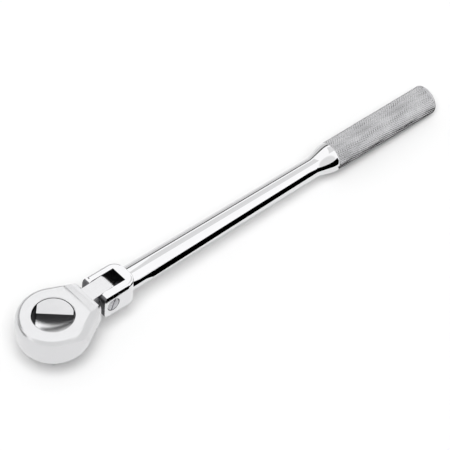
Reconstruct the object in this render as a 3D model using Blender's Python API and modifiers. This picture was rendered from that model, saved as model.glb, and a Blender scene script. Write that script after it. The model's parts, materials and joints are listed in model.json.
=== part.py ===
"""Flex-head ratchet wrench with a 3/8 inch square drive and a knurled round grip.

Frame: metres, +Z up.  The origin is the centre of the square drive's end face, on the
drive axis.  +X runs along the handle.  The head is level and the handle droops a few
degrees about its hinge, so that the grip's rear edge touches the surface at z = 0.
"""
import bpy
import bmesh
from math import asin, atan2, cos, hypot, pi, radians, sin, sqrt, tan
from mathutils import Matrix, Vector

MM = 0.001

# ---- Driving dimensions ---------------------------------------------------------------

# Square drive and the round boss above it
DRIVE_SIDE = 9.53 * MM
DRIVE_LENGTH = 10.4 * MM
DRIVE_END_CHAMFER = 0.8 * MM
DRIVE_EDGE_ROUND = 0.5 * MM
BOSS_STEP = 0.06 * MM
BOSS_LENGTH = 1.1 * MM

# Head
HEAD_RADIUS = 16.5 * MM
HEAD_HEIGHT = 15.6 * MM
HEAD_LOWER_WIDTH = 3.6 * MM
HEAD_LOWER_HEIGHT = 5.5 * MM
HEAD_UPPER_WIDTH = 2.75 * MM
HEAD_UPPER_HEIGHT = 5.0 * MM
HEAD_EDGE_SEGMENTS = 5
HEAD_WALL = 3.3 * MM
COVER_WALL = 3.5 * MM
NECK_LENGTH = 10.2 * MM
NECK_HALF_WIDTH = 8.2 * MM
NECK_DROP = 1.3 * MM
NECK_BLEND = 6.5 * MM
NECK_SIDE_ROUND = 6.0 * MM
NECK_UNDER_ROUND = 3.0 * MM
SHOULDER_FLAT = 2.4 * MM
SHOULDER_ROUND = 1.8 * MM

# Selector recess and dial
RECESS_RADIUS = 9.3 * MM
RECESS_DEPTH = 4.3 * MM
RECESS_CHAMFER = 0.3 * MM
DIAL_GAP = 0.3 * MM
FLANGE_LIP = 0.95 * MM
FLANGE_HEIGHT = 1.4 * MM
STEM_RADIUS = 3.4 * MM
STEM_FLOOR = 1.0 * MM
STEM_BACK_WALL = 1.2 * MM
DISH_RIM_DEPTH = 1.6 * MM
DISH_DEPTH = 3.2 * MM
DISH_STEPS = 6
TAB_TOP_DEPTH = 0.1 * MM
TAB_FRONT = 0.3 * MM
TAB_EDGE_CHAMFER = 0.2 * MM
TAB_LEFT_END = 7.2 * MM
TAB_RIGHT_END = 8.5 * MM
SELECTOR_THROW = radians(44.0)
SEAL_WIRE_RADIUS = 0.4 * MM
SEAL_GROOVE_DEPTH = 0.95 * MM
SEAL_GROOVE_HEIGHT = 1.1 * MM
SEAL_STEPS = 10

# Ring gear, pawl and anvil core
RING_TEETH = 36
RING_TOOTH_HEIGHT = 1.0 * MM
TOOTH_TIP_SHARE = 0.40
TOOTH_ROOT_SHARE = 0.68
CORE_TO_RING = 0.5 * MM
CORE_WEB = 1.15 * MM
PAWL_PIN_RADIUS = 1.0 * MM
PAWL_PIN_INSET = 4.1 * MM
PAWL_ROCK = radians(7.0)
PAWL_TOE_NEAR = radians(34.0)
PAWL_TOE_FAR = radians(52.0)
PAWL_HEEL_INSET = 2.8 * MM
PAWL_HEEL_DROP = 2.7 * MM
PAWL_CROWN = 3.0 * MM
SLOT_MARGIN = 1.0 * MM
SLOT_FLARE = 2.7 * MM
PLUNGER_RADIUS = 1.2 * MM
PLUNGER_TO_PIN = 3.7 * MM
PLUNGER_BACK = 1.3 * MM

# Bottom cover
COVER_THICKNESS = 0.9 * MM
SNAP_RING_INSET = 0.5 * MM
SNAP_RING_THICKNESS = 0.6 * MM
SNAP_RING_WIDTH = 1.5 * MM
SNAP_GROOVE_DEPTH = 0.6 * MM
SNAP_OPENING = radians(16.0)
SNAP_LUG_DEPTH = 1.2 * MM
SNAP_LUG_WIDTH = 2.8 * MM
SNAP_LUG_ROUND = 0.9 * MM
SNAP_HOLE_RADIUS = 0.6 * MM
WASHER_THICKNESS = 0.4 * MM

# Flex hinge
FORK_SWING_GAP = 0.32 * MM
TONGUE_HALF_WIDTH = 3.95 * MM
TONGUE_HALF_HEIGHT = 6.3 * MM
TONGUE_END_RADIUS = 6.8 * MM
TONGUE_ROOT = 3.0 * MM
FORK_ARM_THICKNESS = 3.45 * MM
FORK_HALF_HEIGHT = 6.5 * MM
FORK_TIP = 4.9 * MM
FORK_TIP_ROUND = 3.0 * MM
FORK_EDGE_ROUND = 1.4 * MM
FORK_EDGE_SEGMENTS = 4
FORK_WEB = 4.8 * MM
FORK_BACK_ROUND = 5.5 * MM
SLOT_ROOT_GAP = 2.3 * MM
SCREW_RADIUS = 2.2 * MM
SCREW_HEAD_STEP = 1.0 * MM
SCREW_HEAD_HEIGHT = 1.3 * MM
SCREW_THREAD_STEP = 0.2 * MM
SCREW_CHAMFER = 0.3 * MM
SCREW_SLOT_WIDTH = 0.8 * MM
SCREW_SLOT_DEPTH = 0.7 * MM
SCREW_SLOT_ANGLE = radians(20.0)
FLEX_PLUNGER_RADIUS = 1.5 * MM
FLEX_PLUNGER_LENGTH = 6.0 * MM
FLEX_PLUNGER_NOSE = 0.7 * MM
FLEX_SPRING_LENGTH = 6.6 * MM

# Bar and grip, measured from the hinge
BAR_START_RADIUS = 5.5 * MM
BAR_END_RADIUS = 4.7 * MM
BAR_END = 119.0 * MM
FLARE_LENGTH = 10.8 * MM
FLARE_STEPS = 6
GRIP_LENGTH = 58.2 * MM
GRIP_RADIUS = 6.9 * MM
GRIP_CHAMFER = 1.3 * MM

# Drive ball
BALL_RADIUS = 1.6 * MM
BALL_PROUD = 0.6 * MM
BALL_HEIGHT = 5.2 * MM
BALL_HOLE_DEPTH = 5.6 * MM

# Springs
SPRING_WIRE_RADIUS = 0.2 * MM
FLEX_SPRING_WIRE_RADIUS = 0.25 * MM
BALL_SPRING_TURNS = 3
SELECTOR_SPRING_TURNS = 4
FLEX_SPRING_TURNS = 7

# Clearances
REST_GAP = 0.3 * MM
RUN_GAP = 0.15 * MM
FLEX_GAP = 0.2 * MM
OVERCUT = 1.0 * MM
NECK_OVERRUN = 4.0 * MM

# Facets
ROUND_STEPS = 64
BAR_STEPS = 48
SMALL_STEPS = 24
ARC_STEP = radians(6.0)
WELD = 0.000001
SHARP_ANGLE = radians(32.0)

# ---- Derived places -------------------------------------------------------------------

BOSS_RADIUS = DRIVE_SIDE / 2 * sqrt(2) + BOSS_STEP
HEAD_BOTTOM = DRIVE_LENGTH + BOSS_LENGTH
HEAD_TOP = HEAD_BOTTOM + HEAD_HEIGHT
MID_HEIGHT = HEAD_BOTTOM + HEAD_HEIGHT / 2

SLOT_HALF_WIDTH = TONGUE_HALF_WIDTH + FLEX_GAP
FORK_HALF_WIDTH = SLOT_HALF_WIDTH + FORK_ARM_THICKNESS
SLOT_ROOT = TONGUE_END_RADIUS + SLOT_ROOT_GAP
FORK_BACK = SLOT_ROOT + FORK_WEB
FORK_SWING_RADIUS = hypot(FORK_TIP - FORK_TIP_ROUND, FORK_HALF_HEIGHT - FORK_TIP_ROUND) + FORK_TIP_ROUND
HINGE_X = HEAD_RADIUS + NECK_LENGTH
SHOULDER_X = HINGE_X - FORK_SWING_RADIUS - FORK_SWING_GAP
SCREW_HEAD_RADIUS = SCREW_RADIUS + SCREW_HEAD_STEP
SCREW_THREAD_RADIUS = SCREW_RADIUS - SCREW_THREAD_STEP
GRIP_START = BAR_END + FLARE_LENGTH
GRIP_END = GRIP_START + GRIP_LENGTH

RING_ROOT_RADIUS = HEAD_RADIUS - HEAD_WALL
RING_TIP_RADIUS = RING_ROOT_RADIUS - RING_TOOTH_HEIGHT
CORE_RADIUS = RING_TIP_RADIUS - CORE_TO_RING
COVER_RADIUS = HEAD_RADIUS - COVER_WALL
FLANGE_RADIUS = RECESS_RADIUS + FLANGE_LIP
PAWL_PIN_OFFSET = CORE_RADIUS - PAWL_PIN_INSET
PAWL_HEEL_X = CORE_RADIUS - PAWL_HEEL_INSET
PLUNGER_TIP_CENTRE = PAWL_PIN_OFFSET - PLUNGER_TO_PIN

COUNTERBORE_RADIUS = COVER_RADIUS + REST_GAP
SNAP_RING_LOW = HEAD_BOTTOM + SNAP_RING_INSET
SNAP_RING_HIGH = SNAP_RING_LOW + SNAP_RING_THICKNESS
COVER_LOW = SNAP_RING_HIGH + REST_GAP
COVER_HIGH = COVER_LOW + COVER_THICKNESS
COUNTERBORE_TOP = COVER_HIGH + REST_GAP
WASHER_LOW = COVER_HIGH + REST_GAP
WASHER_HIGH = WASHER_LOW + WASHER_THICKNESS
CORE_LOW = WASHER_HIGH + RUN_GAP
WEB_LOW = HEAD_TOP - RECESS_DEPTH
FLANGE_HIGH = WEB_LOW - REST_GAP
FLANGE_LOW = FLANGE_HIGH - FLANGE_HEIGHT
CORE_HIGH = FLANGE_LOW - RUN_GAP
RING_TOP = CORE_HIGH + REST_GAP
DIAL_RADIUS = RECESS_RADIUS - DIAL_GAP
SEAL_GROOVE_FLOOR = DIAL_RADIUS - SEAL_GROOVE_DEPTH
SEAL_GROOVE_LOW = WEB_LOW + REST_GAP
SEAL_GROOVE_HIGH = SEAL_GROOVE_LOW + SEAL_GROOVE_HEIGHT
TAB_TOP = HEAD_TOP - TAB_TOP_DEPTH

PAWL_LOW = CORE_LOW + CORE_WEB + REST_GAP
PAWL_HIGH = CORE_HIGH - CORE_WEB - REST_GAP
PAWL_MID = (PAWL_LOW + PAWL_HIGH) / 2
STEM_LOW = PAWL_MID - PLUNGER_RADIUS - STEM_FLOOR
PAWL_PIVOT = Vector((0.0, PAWL_PIN_OFFSET))
STEM_HOLE_RADIUS = STEM_RADIUS + RUN_GAP

DROOP = (asin(MID_HEIGHT / hypot(GRIP_END - GRIP_CHAMFER, GRIP_RADIUS))
         - atan2(GRIP_RADIUS, GRIP_END - GRIP_CHAMFER))
TAB_ANGLE = pi / 2 - SELECTOR_THROW


# ---- Scene helpers --------------------------------------------------------------------

def clear_scene():
    for obj in list(bpy.data.objects):
        bpy.data.objects.remove(obj, do_unlink=True)
    for mesh in list(bpy.data.meshes):
        bpy.data.meshes.remove(mesh)


def make_collection(name):
    collection = bpy.data.collections.new(name)
    bpy.context.scene.collection.children.link(collection)
    return collection


def make_material(name, colour, metallic, roughness):
    material = bpy.data.materials.new(name)
    material.use_nodes = True
    shader = material.node_tree.nodes["Principled BSDF"]
    shader.inputs["Base Color"].default_value = (*colour, 1.0)
    shader.inputs["Metallic"].default_value = metallic
    shader.inputs["Roughness"].default_value = roughness
    material.diffuse_color = (*colour, 1.0)
    return material


def place(obj, parent=None):
    """Put a new object in the cutter collection until it is finished as a part."""
    CUTTERS.objects.link(obj)
    obj.parent = parent
    obj.hide_render = True
    obj.display_type = "WIRE"
    return obj


def bake(obj):
    """Replace an object's mesh and modifiers by the mesh that they make."""
    bpy.context.view_layer.update()
    graph = bpy.context.evaluated_depsgraph_get()
    mesh = bpy.data.meshes.new_from_object(obj.evaluated_get(graph))
    obj.modifiers.clear()
    obj.data = mesh
    return obj


def finish_part(obj, material):
    """Bake a piece, shade it, give it its material and move it to the part collection."""
    bake(obj)
    obj.data.materials.clear()
    obj.data.materials.append(material)
    obj.data.shade_smooth()
    obj.data.set_sharp_from_angle(angle=SHARP_ANGLE)
    obj.hide_render = False
    obj.display_type = "TEXTURED"
    CUTTERS.objects.unlink(obj)
    PARTS.objects.link(obj)
    return obj


# ---- Shape helpers --------------------------------------------------------------------

def arc(centre, radius, start, end, step=ARC_STEP):
    """Points on an arc, both ends included, anticlockwise when end is above start."""
    count = max(2, round(abs(end - start) / step))
    angles = [start + (end - start) * i / count for i in range(count + 1)]
    return [(centre[0] + radius * cos(a), centre[1] + radius * sin(a)) for a in angles]


def rounded_loop(corners):
    """A closed outline from (x, y, radius) corners, each rounded by its own arc."""
    points = []
    count = len(corners)
    for i, (x, y, radius) in enumerate(corners):
        here = Vector((x, y))
        if radius <= 0:
            points.append((x, y))
            continue
        before = (Vector(corners[i - 1][:2]) - here).normalized()
        after = (Vector(corners[(i + 1) % count][:2]) - here).normalized()
        half = before.angle(after) / 2
        centre = here + (before + after).normalized() * radius / sin(half)
        reach = radius * cos(half) / sin(half)
        first = here + before * reach - centre
        last = here + after * reach - centre
        start = atan2(first.y, first.x)
        turn = (atan2(last.y, last.x) - start + pi) % (2 * pi) - pi
        points += arc(centre, radius, start, start + turn)
    return points


def outline_solid(name, loops, low, high, parent=None, upright=False):
    """Extrude flat outlines from low to high along Z, or along Y when upright."""
    curve = bpy.data.curves.new(name, "CURVE")
    curve.dimensions = "2D"
    curve.fill_mode = "BOTH"
    curve.extrude = (high - low) / 2
    for loop in loops:
        spline = curve.splines.new("POLY")
        spline.points.add(len(loop) - 1)
        for point, (x, y) in zip(spline.points, loop):
            point.co = (x, y, 0.0, 1.0)
        spline.use_cyclic_u = True
    source = bpy.data.objects.new(name, curve)
    bpy.context.scene.collection.objects.link(source)
    bpy.context.view_layer.update()
    graph = bpy.context.evaluated_depsgraph_get()
    mesh = bpy.data.meshes.new_from_object(source.evaluated_get(graph))
    bpy.data.objects.remove(source, do_unlink=True)
    weld_flat(mesh)
    mesh.transform(Matrix.Translation((0, 0, (low + high) / 2)))
    if upright:
        mesh.transform(Matrix.Rotation(pi / 2, 4, "X"))
    return place(bpy.data.objects.new(name, mesh), parent)


def weld_flat(mesh):
    """Join an extruded outline's caps to its sides and clear the caps' inner edges."""
    shape = bmesh.new()
    shape.from_mesh(mesh)
    bmesh.ops.remove_doubles(shape, verts=shape.verts, dist=WELD)
    bmesh.ops.dissolve_limit(shape, angle_limit=radians(0.5), verts=shape.verts, edges=shape.edges)
    bmesh.ops.recalc_face_normals(shape, faces=shape.faces)
    shape.to_mesh(mesh)
    shape.free()


def turned(name, profile, steps=ROUND_STEPS, parent=None, along="Z", closed=False):
    """Turn a profile of (radius, height) pairs, outer side top to bottom."""
    mesh = bpy.data.meshes.new(name)
    edges = [(i, i + 1) for i in range(len(profile) - 1)]
    if closed:
        edges.append((len(profile) - 1, 0))
    mesh.from_pydata([(r, 0.0, h) for r, h in profile], edges, [])
    obj = place(bpy.data.objects.new(name, mesh), parent)
    screw = obj.modifiers.new("Turn", "SCREW")
    screw.angle = 2 * pi
    screw.steps = steps
    screw.render_steps = steps
    screw.use_merge_vertices = True
    screw.merge_threshold = WELD
    bake(obj)
    if along == "X":
        obj.data.transform(Matrix.Rotation(pi / 2, 4, "Y"))
    if along == "Y":
        obj.data.transform(Matrix.Rotation(-pi / 2, 4, "X"))
    return obj


def cylinder(name, radius, low, high, steps=SMALL_STEPS, parent=None, along="Z"):
    profile = [(0.0, high), (radius, high), (radius, low), (0.0, low)]
    return turned(name, profile, steps, parent, along)


def block(name, low, high, parent=None):
    """A box between two corners."""
    bpy.ops.mesh.primitive_cube_add(size=1.0)
    obj = bpy.context.active_object
    for collection in list(obj.users_collection):
        collection.objects.unlink(obj)
    obj.name = name
    low = Vector(low)
    high = Vector(high)
    obj.data.transform(Matrix.Diagonal((*(high - low), 1.0)))
    obj.data.transform(Matrix.Translation((low + high) / 2))
    return place(obj, parent)


def combine(obj, other, operation):
    """Join, cut or intersect one solid with another, which is then removed."""
    modifier = obj.modifiers.new(operation.title(), "BOOLEAN")
    modifier.operation = operation
    modifier.solver = "EXACT"
    modifier.object = other
    bake(obj)
    bpy.data.objects.remove(other, do_unlink=True)
    return obj


def bevel_edges(obj, width, segments, wanted):
    """Round the edges that the test picks from a mesh's edges."""
    shape = bmesh.new()
    shape.from_mesh(obj.data)
    layer = shape.edges.layers.float.get("bevel_weight_edge")
    if layer is None:
        layer = shape.edges.layers.float.new("bevel_weight_edge")
    for edge in shape.edges:
        edge[layer] = 1.0 if wanted(edge) else 0.0
    shape.to_mesh(obj.data)
    shape.free()
    bevel = obj.modifiers.new("Bevel", "BEVEL")
    bevel.limit_method = "WEIGHT"
    bevel.width = width
    bevel.segments = segments
    bevel.use_clamp_overlap = False
    return bake(obj)


def is_cap_edge(edge):
    """True on the outline edges between a level cap and an upright wall."""
    normals = [abs(face.normal.z) for face in edge.link_faces]
    return max(normals) > 0.9 and min(normals) < 0.1


def coil(name, radius, wire, length, turns, along, parent=None):
    """A closed round-wire compression spring from the origin along one axis."""
    points_per_turn = 10
    count = int(turns * points_per_turn)
    curve = bpy.data.curves.new(name, "CURVE")
    curve.dimensions = "3D"
    curve.bevel_depth = wire
    curve.bevel_resolution = 1
    curve.use_fill_caps = True
    spline = curve.splines.new("POLY")
    spline.points.add(count)
    for i, point in enumerate(spline.points):
        angle = 2 * pi * i / points_per_turn
        height = wire + (length - 2 * wire) * i / count
        point.co = (radius * cos(angle), radius * sin(angle), height, 1.0)
    source = bpy.data.objects.new(name, curve)
    bpy.context.scene.collection.objects.link(source)
    bpy.context.view_layer.update()
    graph = bpy.context.evaluated_depsgraph_get()
    mesh = bpy.data.meshes.new_from_object(source.evaluated_get(graph))
    bpy.data.objects.remove(source, do_unlink=True)
    shape = bmesh.new()
    shape.from_mesh(mesh)
    bmesh.ops.remove_doubles(shape, verts=shape.verts, dist=WELD)
    bmesh.ops.recalc_face_normals(shape, faces=shape.faces)
    shape.to_mesh(mesh)
    shape.free()
    turn = Vector((0, 0, 1)).rotation_difference(Vector(along)).to_matrix().to_4x4()
    mesh.transform(turn)
    return place(bpy.data.objects.new(name, mesh), parent)


def shift(obj, offset):
    obj.data.transform(Matrix.Translation(offset))
    return obj


def turn_about_z(obj, angle, pivot=(0.0, 0.0)):
    """Turn a mesh about an upright axis through a point."""
    centre = Matrix.Translation((pivot[0], pivot[1], 0.0))
    obj.data.transform(centre @ Matrix.Rotation(angle, 4, "Z") @ centre.inverted())
    return obj


# ---- Head -----------------------------------------------------------------------------

def gear_outline(clearance=0.0):
    """The ring gear's bore; clearance makes its teeth larger all round."""
    pitch = 2 * pi / RING_TEETH
    tip = RING_TIP_RADIUS - clearance
    root = RING_ROOT_RADIUS - clearance
    widen = clearance / RING_TIP_RADIUS
    tip_half = pitch * TOOTH_TIP_SHARE / 2 + widen
    root_half = pitch * TOOTH_ROOT_SHARE / 2 + widen
    points = []
    for tooth in range(RING_TEETH):
        middle = tooth * pitch
        for radius, angle in ((root, -root_half), (tip, -tip_half), (tip, tip_half), (root, root_half)):
            points.append((radius * cos(middle + angle), radius * sin(middle + angle)))
    return points


def head_plan():
    """Pear outline: a circle whose sides run straight to the neck and a little past it."""
    corner = Vector((SHOULDER_X, NECK_HALF_WIDTH))
    tangent = sqrt(corner.length ** 2 - HEAD_RADIUS ** 2)
    spread = atan2(corner.y, corner.x) + asin(tangent / corner.length)
    reach = SHOULDER_X + NECK_OVERRUN
    half_width = NECK_HALF_WIDTH - NECK_OVERRUN / tan(spread)
    round_part = arc((0, 0), HEAD_RADIUS, spread, 2 * pi - spread)
    return round_part + [(reach, -half_width), (reach, half_width)]


def head_side():
    """Side view of the head: level, and eased to the hinge shoulder past the snap ring's groove."""
    low = HEAD_BOTTOM + NECK_DROP
    high = HEAD_TOP - NECK_DROP
    back = -HEAD_RADIUS - OVERCUT
    blend = SHOULDER_X - NECK_BLEND
    groove_end = COUNTERBORE_RADIUS + SNAP_GROOVE_DEPTH + REST_GAP
    return rounded_loop([
        (back, HEAD_BOTTOM, 0),
        (groove_end, HEAD_BOTTOM, NECK_UNDER_ROUND),
        (SHOULDER_X - SHOULDER_FLAT, low, NECK_UNDER_ROUND),
        (SHOULDER_X, low, SHOULDER_ROUND),
        (SHOULDER_X, high, SHOULDER_ROUND),
        (SHOULDER_X - SHOULDER_FLAT, high, NECK_SIDE_ROUND),
        (blend, HEAD_TOP, NECK_SIDE_ROUND),
        (back, HEAD_TOP, 0),
    ])


def tongue_outline():
    """Side view of the hinge tongue, from inside the neck to its round end."""
    half_angle = asin(TONGUE_HALF_HEIGHT / TONGUE_END_RADIUS)
    start = SHOULDER_X - TONGUE_ROOT
    low = MID_HEIGHT - TONGUE_HALF_HEIGHT
    high = MID_HEIGHT + TONGUE_HALF_HEIGHT
    end = arc((HINGE_X, MID_HEIGHT), TONGUE_END_RADIUS, -half_angle, half_angle)
    return [(start, low)] + end + [(start, high)]


def round_head_edge(body, width, height, upper):
    """Round the upper or lower outline with a quarter ellipse that is taller than it is wide."""
    squash = width / height
    middle = MID_HEIGHT * squash
    body.data.transform(Matrix.Diagonal((1.0, 1.0, squash, 1.0)))
    bevel_edges(body, width, HEAD_EDGE_SEGMENTS,
                lambda e: is_cap_edge(e) and (e.verts[0].co.z > middle) == upper)
    body.data.transform(Matrix.Diagonal((1.0, 1.0, 1.0 / squash, 1.0)))


def make_head_body():
    body = outline_solid("head_body", [head_plan()], HEAD_BOTTOM, HEAD_TOP)
    round_head_edge(body, HEAD_LOWER_WIDTH, HEAD_LOWER_HEIGHT, False)
    round_head_edge(body, HEAD_UPPER_WIDTH, HEAD_UPPER_HEIGHT, True)
    side = outline_solid("side", [head_side()], -HEAD_RADIUS - OVERCUT, HEAD_RADIUS + OVERCUT, upright=True)
    combine(body, side, "INTERSECT")
    tongue = outline_solid("tongue", [tongue_outline()], -TONGUE_HALF_WIDTH, TONGUE_HALF_WIDTH,
                           upright=True)
    combine(body, tongue, "UNION")
    cover_cut = turned("cover_cut", [
        (0.0, COUNTERBORE_TOP),
        (COUNTERBORE_RADIUS, COUNTERBORE_TOP),
        (COUNTERBORE_RADIUS, SNAP_RING_HIGH + RUN_GAP),
        (COUNTERBORE_RADIUS + SNAP_GROOVE_DEPTH, SNAP_RING_HIGH + RUN_GAP),
        (COUNTERBORE_RADIUS + SNAP_GROOVE_DEPTH, SNAP_RING_LOW - RUN_GAP),
        (COUNTERBORE_RADIUS, SNAP_RING_LOW - RUN_GAP),
        (COUNTERBORE_RADIUS, HEAD_BOTTOM - OVERCUT),
        (0.0, HEAD_BOTTOM - OVERCUT),
    ])
    combine(body, cover_cut, "DIFFERENCE")
    gear_cut = outline_solid("gear_cut", [gear_outline()], COUNTERBORE_TOP - REST_GAP, RING_TOP)
    combine(body, gear_cut, "DIFFERENCE")
    recess_cut = turned("recess_cut", [
        (0.0, HEAD_TOP + OVERCUT),
        (RECESS_RADIUS + RECESS_CHAMFER + OVERCUT, HEAD_TOP + OVERCUT),
        (RECESS_RADIUS, HEAD_TOP - RECESS_CHAMFER),
        (RECESS_RADIUS, WEB_LOW),
        (FLANGE_RADIUS + REST_GAP, WEB_LOW),
        (FLANGE_RADIUS + REST_GAP, RING_TOP - REST_GAP),
        (0.0, RING_TOP - REST_GAP),
    ])
    combine(body, recess_cut, "DIFFERENCE")
    hinge_cut = cylinder("hinge_cut", SCREW_RADIUS + RUN_GAP, -FORK_HALF_WIDTH, FORK_HALF_WIDTH, along="Y")
    shift(hinge_cut, (HINGE_X, 0, MID_HEIGHT))
    combine(body, hinge_cut, "DIFFERENCE")
    return finish_part(body, CHROME)


def make_cover_plate():
    inner = BOSS_RADIUS + REST_GAP
    cover = turned("cover_plate", [
        (inner, COVER_HIGH), (COVER_RADIUS, COVER_HIGH),
        (COVER_RADIUS, COVER_LOW), (inner, COVER_LOW),
    ], closed=True)
    return finish_part(cover, PLATE_STEEL)


def make_thrust_washer():
    inner = BOSS_RADIUS + REST_GAP
    outer = CORE_RADIUS - REST_GAP
    washer = turned("thrust_washer", [
        (inner, WASHER_HIGH), (outer, WASHER_HIGH),
        (outer, WASHER_LOW), (inner, WASHER_LOW),
    ], closed=True)
    return finish_part(washer, SPRING_STEEL)


def make_retaining_ring():
    """Internal snap ring: an open ring with a rounded, holed lug at each end."""
    outer = COUNTERBORE_RADIUS + SNAP_GROOVE_DEPTH - RUN_GAP
    inner = outer - SNAP_RING_WIDTH
    lug_inner = inner - SNAP_LUG_DEPTH
    lug_span = SNAP_LUG_WIDTH / inner
    start = pi / 2 + SNAP_OPENING
    end = pi / 2 - SNAP_OPENING + 2 * pi
    corners = [(x, y, 0) for x, y in arc((0, 0), outer, start, end)]
    for radius, angle in ((lug_inner, end), (lug_inner, end - lug_span)):
        corners.append((radius * cos(angle), radius * sin(angle), SNAP_LUG_ROUND))
    corners += [(x, y, 0) for x, y in arc((0, 0), inner, end - lug_span, start + lug_span)]
    for radius, angle in ((lug_inner, start + lug_span), (lug_inner, start)):
        corners.append((radius * cos(angle), radius * sin(angle), SNAP_LUG_ROUND))
    loops = [rounded_loop(corners)]
    hole_distance = (outer + lug_inner) / 2
    for angle in (start + lug_span / 2, end - lug_span / 2):
        centre = (hole_distance * cos(angle), hole_distance * sin(angle))
        loops.append(arc(centre, SNAP_HOLE_RADIUS, 0, 2 * pi, radians(30))[:-1])
    ring = outline_solid("retaining_ring", loops, SNAP_RING_LOW, SNAP_RING_HIGH)
    return finish_part(ring, SPRING_STEEL)


# ---- Drive ----------------------------------------------------------------------------

def pawl_slot_outline():
    """Plan of the pawl's slot through the side of the core, with room for the plunger's swing."""
    floor = STEM_RADIUS * cos(SELECTOR_THROW) - (PLUNGER_RADIUS + REST_GAP) * sin(SELECTOR_THROW)
    half = (PLUNGER_TIP_CENTRE + PLUNGER_RADIUS) * sin(SELECTOR_THROW) + SLOT_MARGIN
    edge = CORE_RADIUS + OVERCUT
    rise = floor + SLOT_FLARE
    return [(-half, floor), (half, floor), (edge, rise), (edge, edge), (-edge, edge), (-edge, rise)]


def make_drive_anvil():
    half = DRIVE_SIDE / 2
    anvil = block("drive_anvil", (-half, -half, 0), (half, half, DRIVE_LENGTH + OVERCUT))
    bevel_edges(anvil, DRIVE_END_CHAMFER, 1, lambda e: all(v.co.z < WELD for v in e.verts))
    bevel_edges(anvil, DRIVE_EDGE_ROUND, 2,
                lambda e: abs(e.verts[0].co.z - e.verts[1].co.z) > DRIVE_LENGTH / 2)
    core = turned("core", [
        (0.0, CORE_HIGH), (CORE_RADIUS, CORE_HIGH), (CORE_RADIUS, CORE_LOW),
        (BOSS_RADIUS, CORE_LOW), (BOSS_RADIUS, DRIVE_LENGTH), (0.0, DRIVE_LENGTH),
    ])
    combine(anvil, core, "UNION")
    stem_hole = cylinder("stem_hole", STEM_HOLE_RADIUS, STEM_LOW - REST_GAP, CORE_HIGH + OVERCUT)
    combine(anvil, stem_hole, "DIFFERENCE")
    slot = outline_solid("slot", [pawl_slot_outline()], PAWL_LOW - REST_GAP, PAWL_HIGH + REST_GAP)
    combine(anvil, slot, "DIFFERENCE")
    pin_hole = cylinder("pin_hole", PAWL_PIN_RADIUS + RUN_GAP, CORE_LOW + REST_GAP, CORE_HIGH + OVERCUT)
    combine(anvil, shift(pin_hole, (0, PAWL_PIN_OFFSET, 0)), "DIFFERENCE")
    ball_hole = cylinder("ball_hole", BALL_RADIUS + RUN_GAP, -half - OVERCUT, BALL_HOLE_DEPTH - half,
                         along="Y")
    combine(anvil, shift(ball_hole, (0, 0, BALL_HEIGHT)), "DIFFERENCE")
    return finish_part(anvil, CHROME)


def make_pawl_pin():
    pin = cylinder("pawl_pin", PAWL_PIN_RADIUS, CORE_LOW + 2 * REST_GAP, CORE_HIGH)
    return finish_part(shift(pin, (0, PAWL_PIN_OFFSET, 0)), DARK_STEEL)


def to_pawl(point, rock):
    """A fixed point as the pawl sees it when it has rocked."""
    offset = Vector(point) - PAWL_PIVOT
    offset.rotate(Matrix.Rotation(-rock, 2))
    return offset + PAWL_PIVOT


def plunger_track(steps=8):
    """The wall of the pawl's trough: the plunger's tip swept over half its travel."""
    reach = PLUNGER_RADIUS + RUN_GAP
    centres = []
    for i in range(steps + 1):
        share = i / steps
        angle = share * SELECTOR_THROW
        tip = (PLUNGER_TIP_CENTRE * sin(angle), PLUNGER_TIP_CENTRE * cos(angle))
        centres.append(to_pawl(tip, share * PAWL_ROCK))
    wall = []
    for i, centre in enumerate(centres):
        ahead = centres[min(i + 1, steps)]
        behind = centres[max(i - 1, 0)]
        run = (ahead - behind).normalized()
        if i == 0:
            run = Vector((1.0, 0.0))
        wall.append(centre + reach * Vector((-run.y, run.x)))
    return wall


def pawl_outline():
    """Plan of the unrocked pawl before its teeth are cut."""
    tooth_radius = RING_ROOT_RADIUS - RUN_GAP
    toe_steps = 4
    toe = []
    for i in range(toe_steps + 1):
        angle = PAWL_TOE_FAR + (PAWL_TOE_NEAR - PAWL_TOE_FAR) * i / toe_steps
        toe.append(to_pawl((tooth_radius * sin(angle), tooth_radius * cos(angle)), PAWL_ROCK))
    heel = [Vector((PAWL_HEEL_X, PAWL_PIN_OFFSET - PAWL_HEEL_DROP))]
    crown = [Vector((PAWL_CROWN, PAWL_PIN_OFFSET + PAWL_CROWN))]
    right = plunger_track() + heel + toe + crown
    left = [Vector((-p.x, p.y)) for p in reversed(right) if p.x > WELD]
    return [tuple(p) for p in right + left]


def make_pawl():
    pawl = outline_solid("pawl", [pawl_outline()], PAWL_LOW, PAWL_HIGH)
    rim = arc((0, 0), HEAD_RADIUS, 0, 2 * pi)[:-1]
    for share in (-1.0, -0.5, 0.0, 0.5, 1.0):
        teeth = outline_solid("teeth", [rim, gear_outline(RUN_GAP)],
                              PAWL_LOW - OVERCUT, PAWL_HIGH + OVERCUT)
        turn_about_z(teeth, -share * PAWL_ROCK, PAWL_PIVOT)
        combine(pawl, teeth, "DIFFERENCE")
    bore = cylinder("bore", PAWL_PIN_RADIUS + RUN_GAP, PAWL_LOW - OVERCUT, PAWL_HIGH + OVERCUT)
    combine(pawl, shift(bore, (0, PAWL_PIN_OFFSET, 0)), "DIFFERENCE")
    shift(pawl, (0, -PAWL_PIN_OFFSET, 0))
    pawl.location = (0, PAWL_PIN_OFFSET, 0)
    pawl.rotation_euler = (0, 0, PAWL_ROCK)
    return finish_part(pawl, DARK_STEEL)


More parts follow.
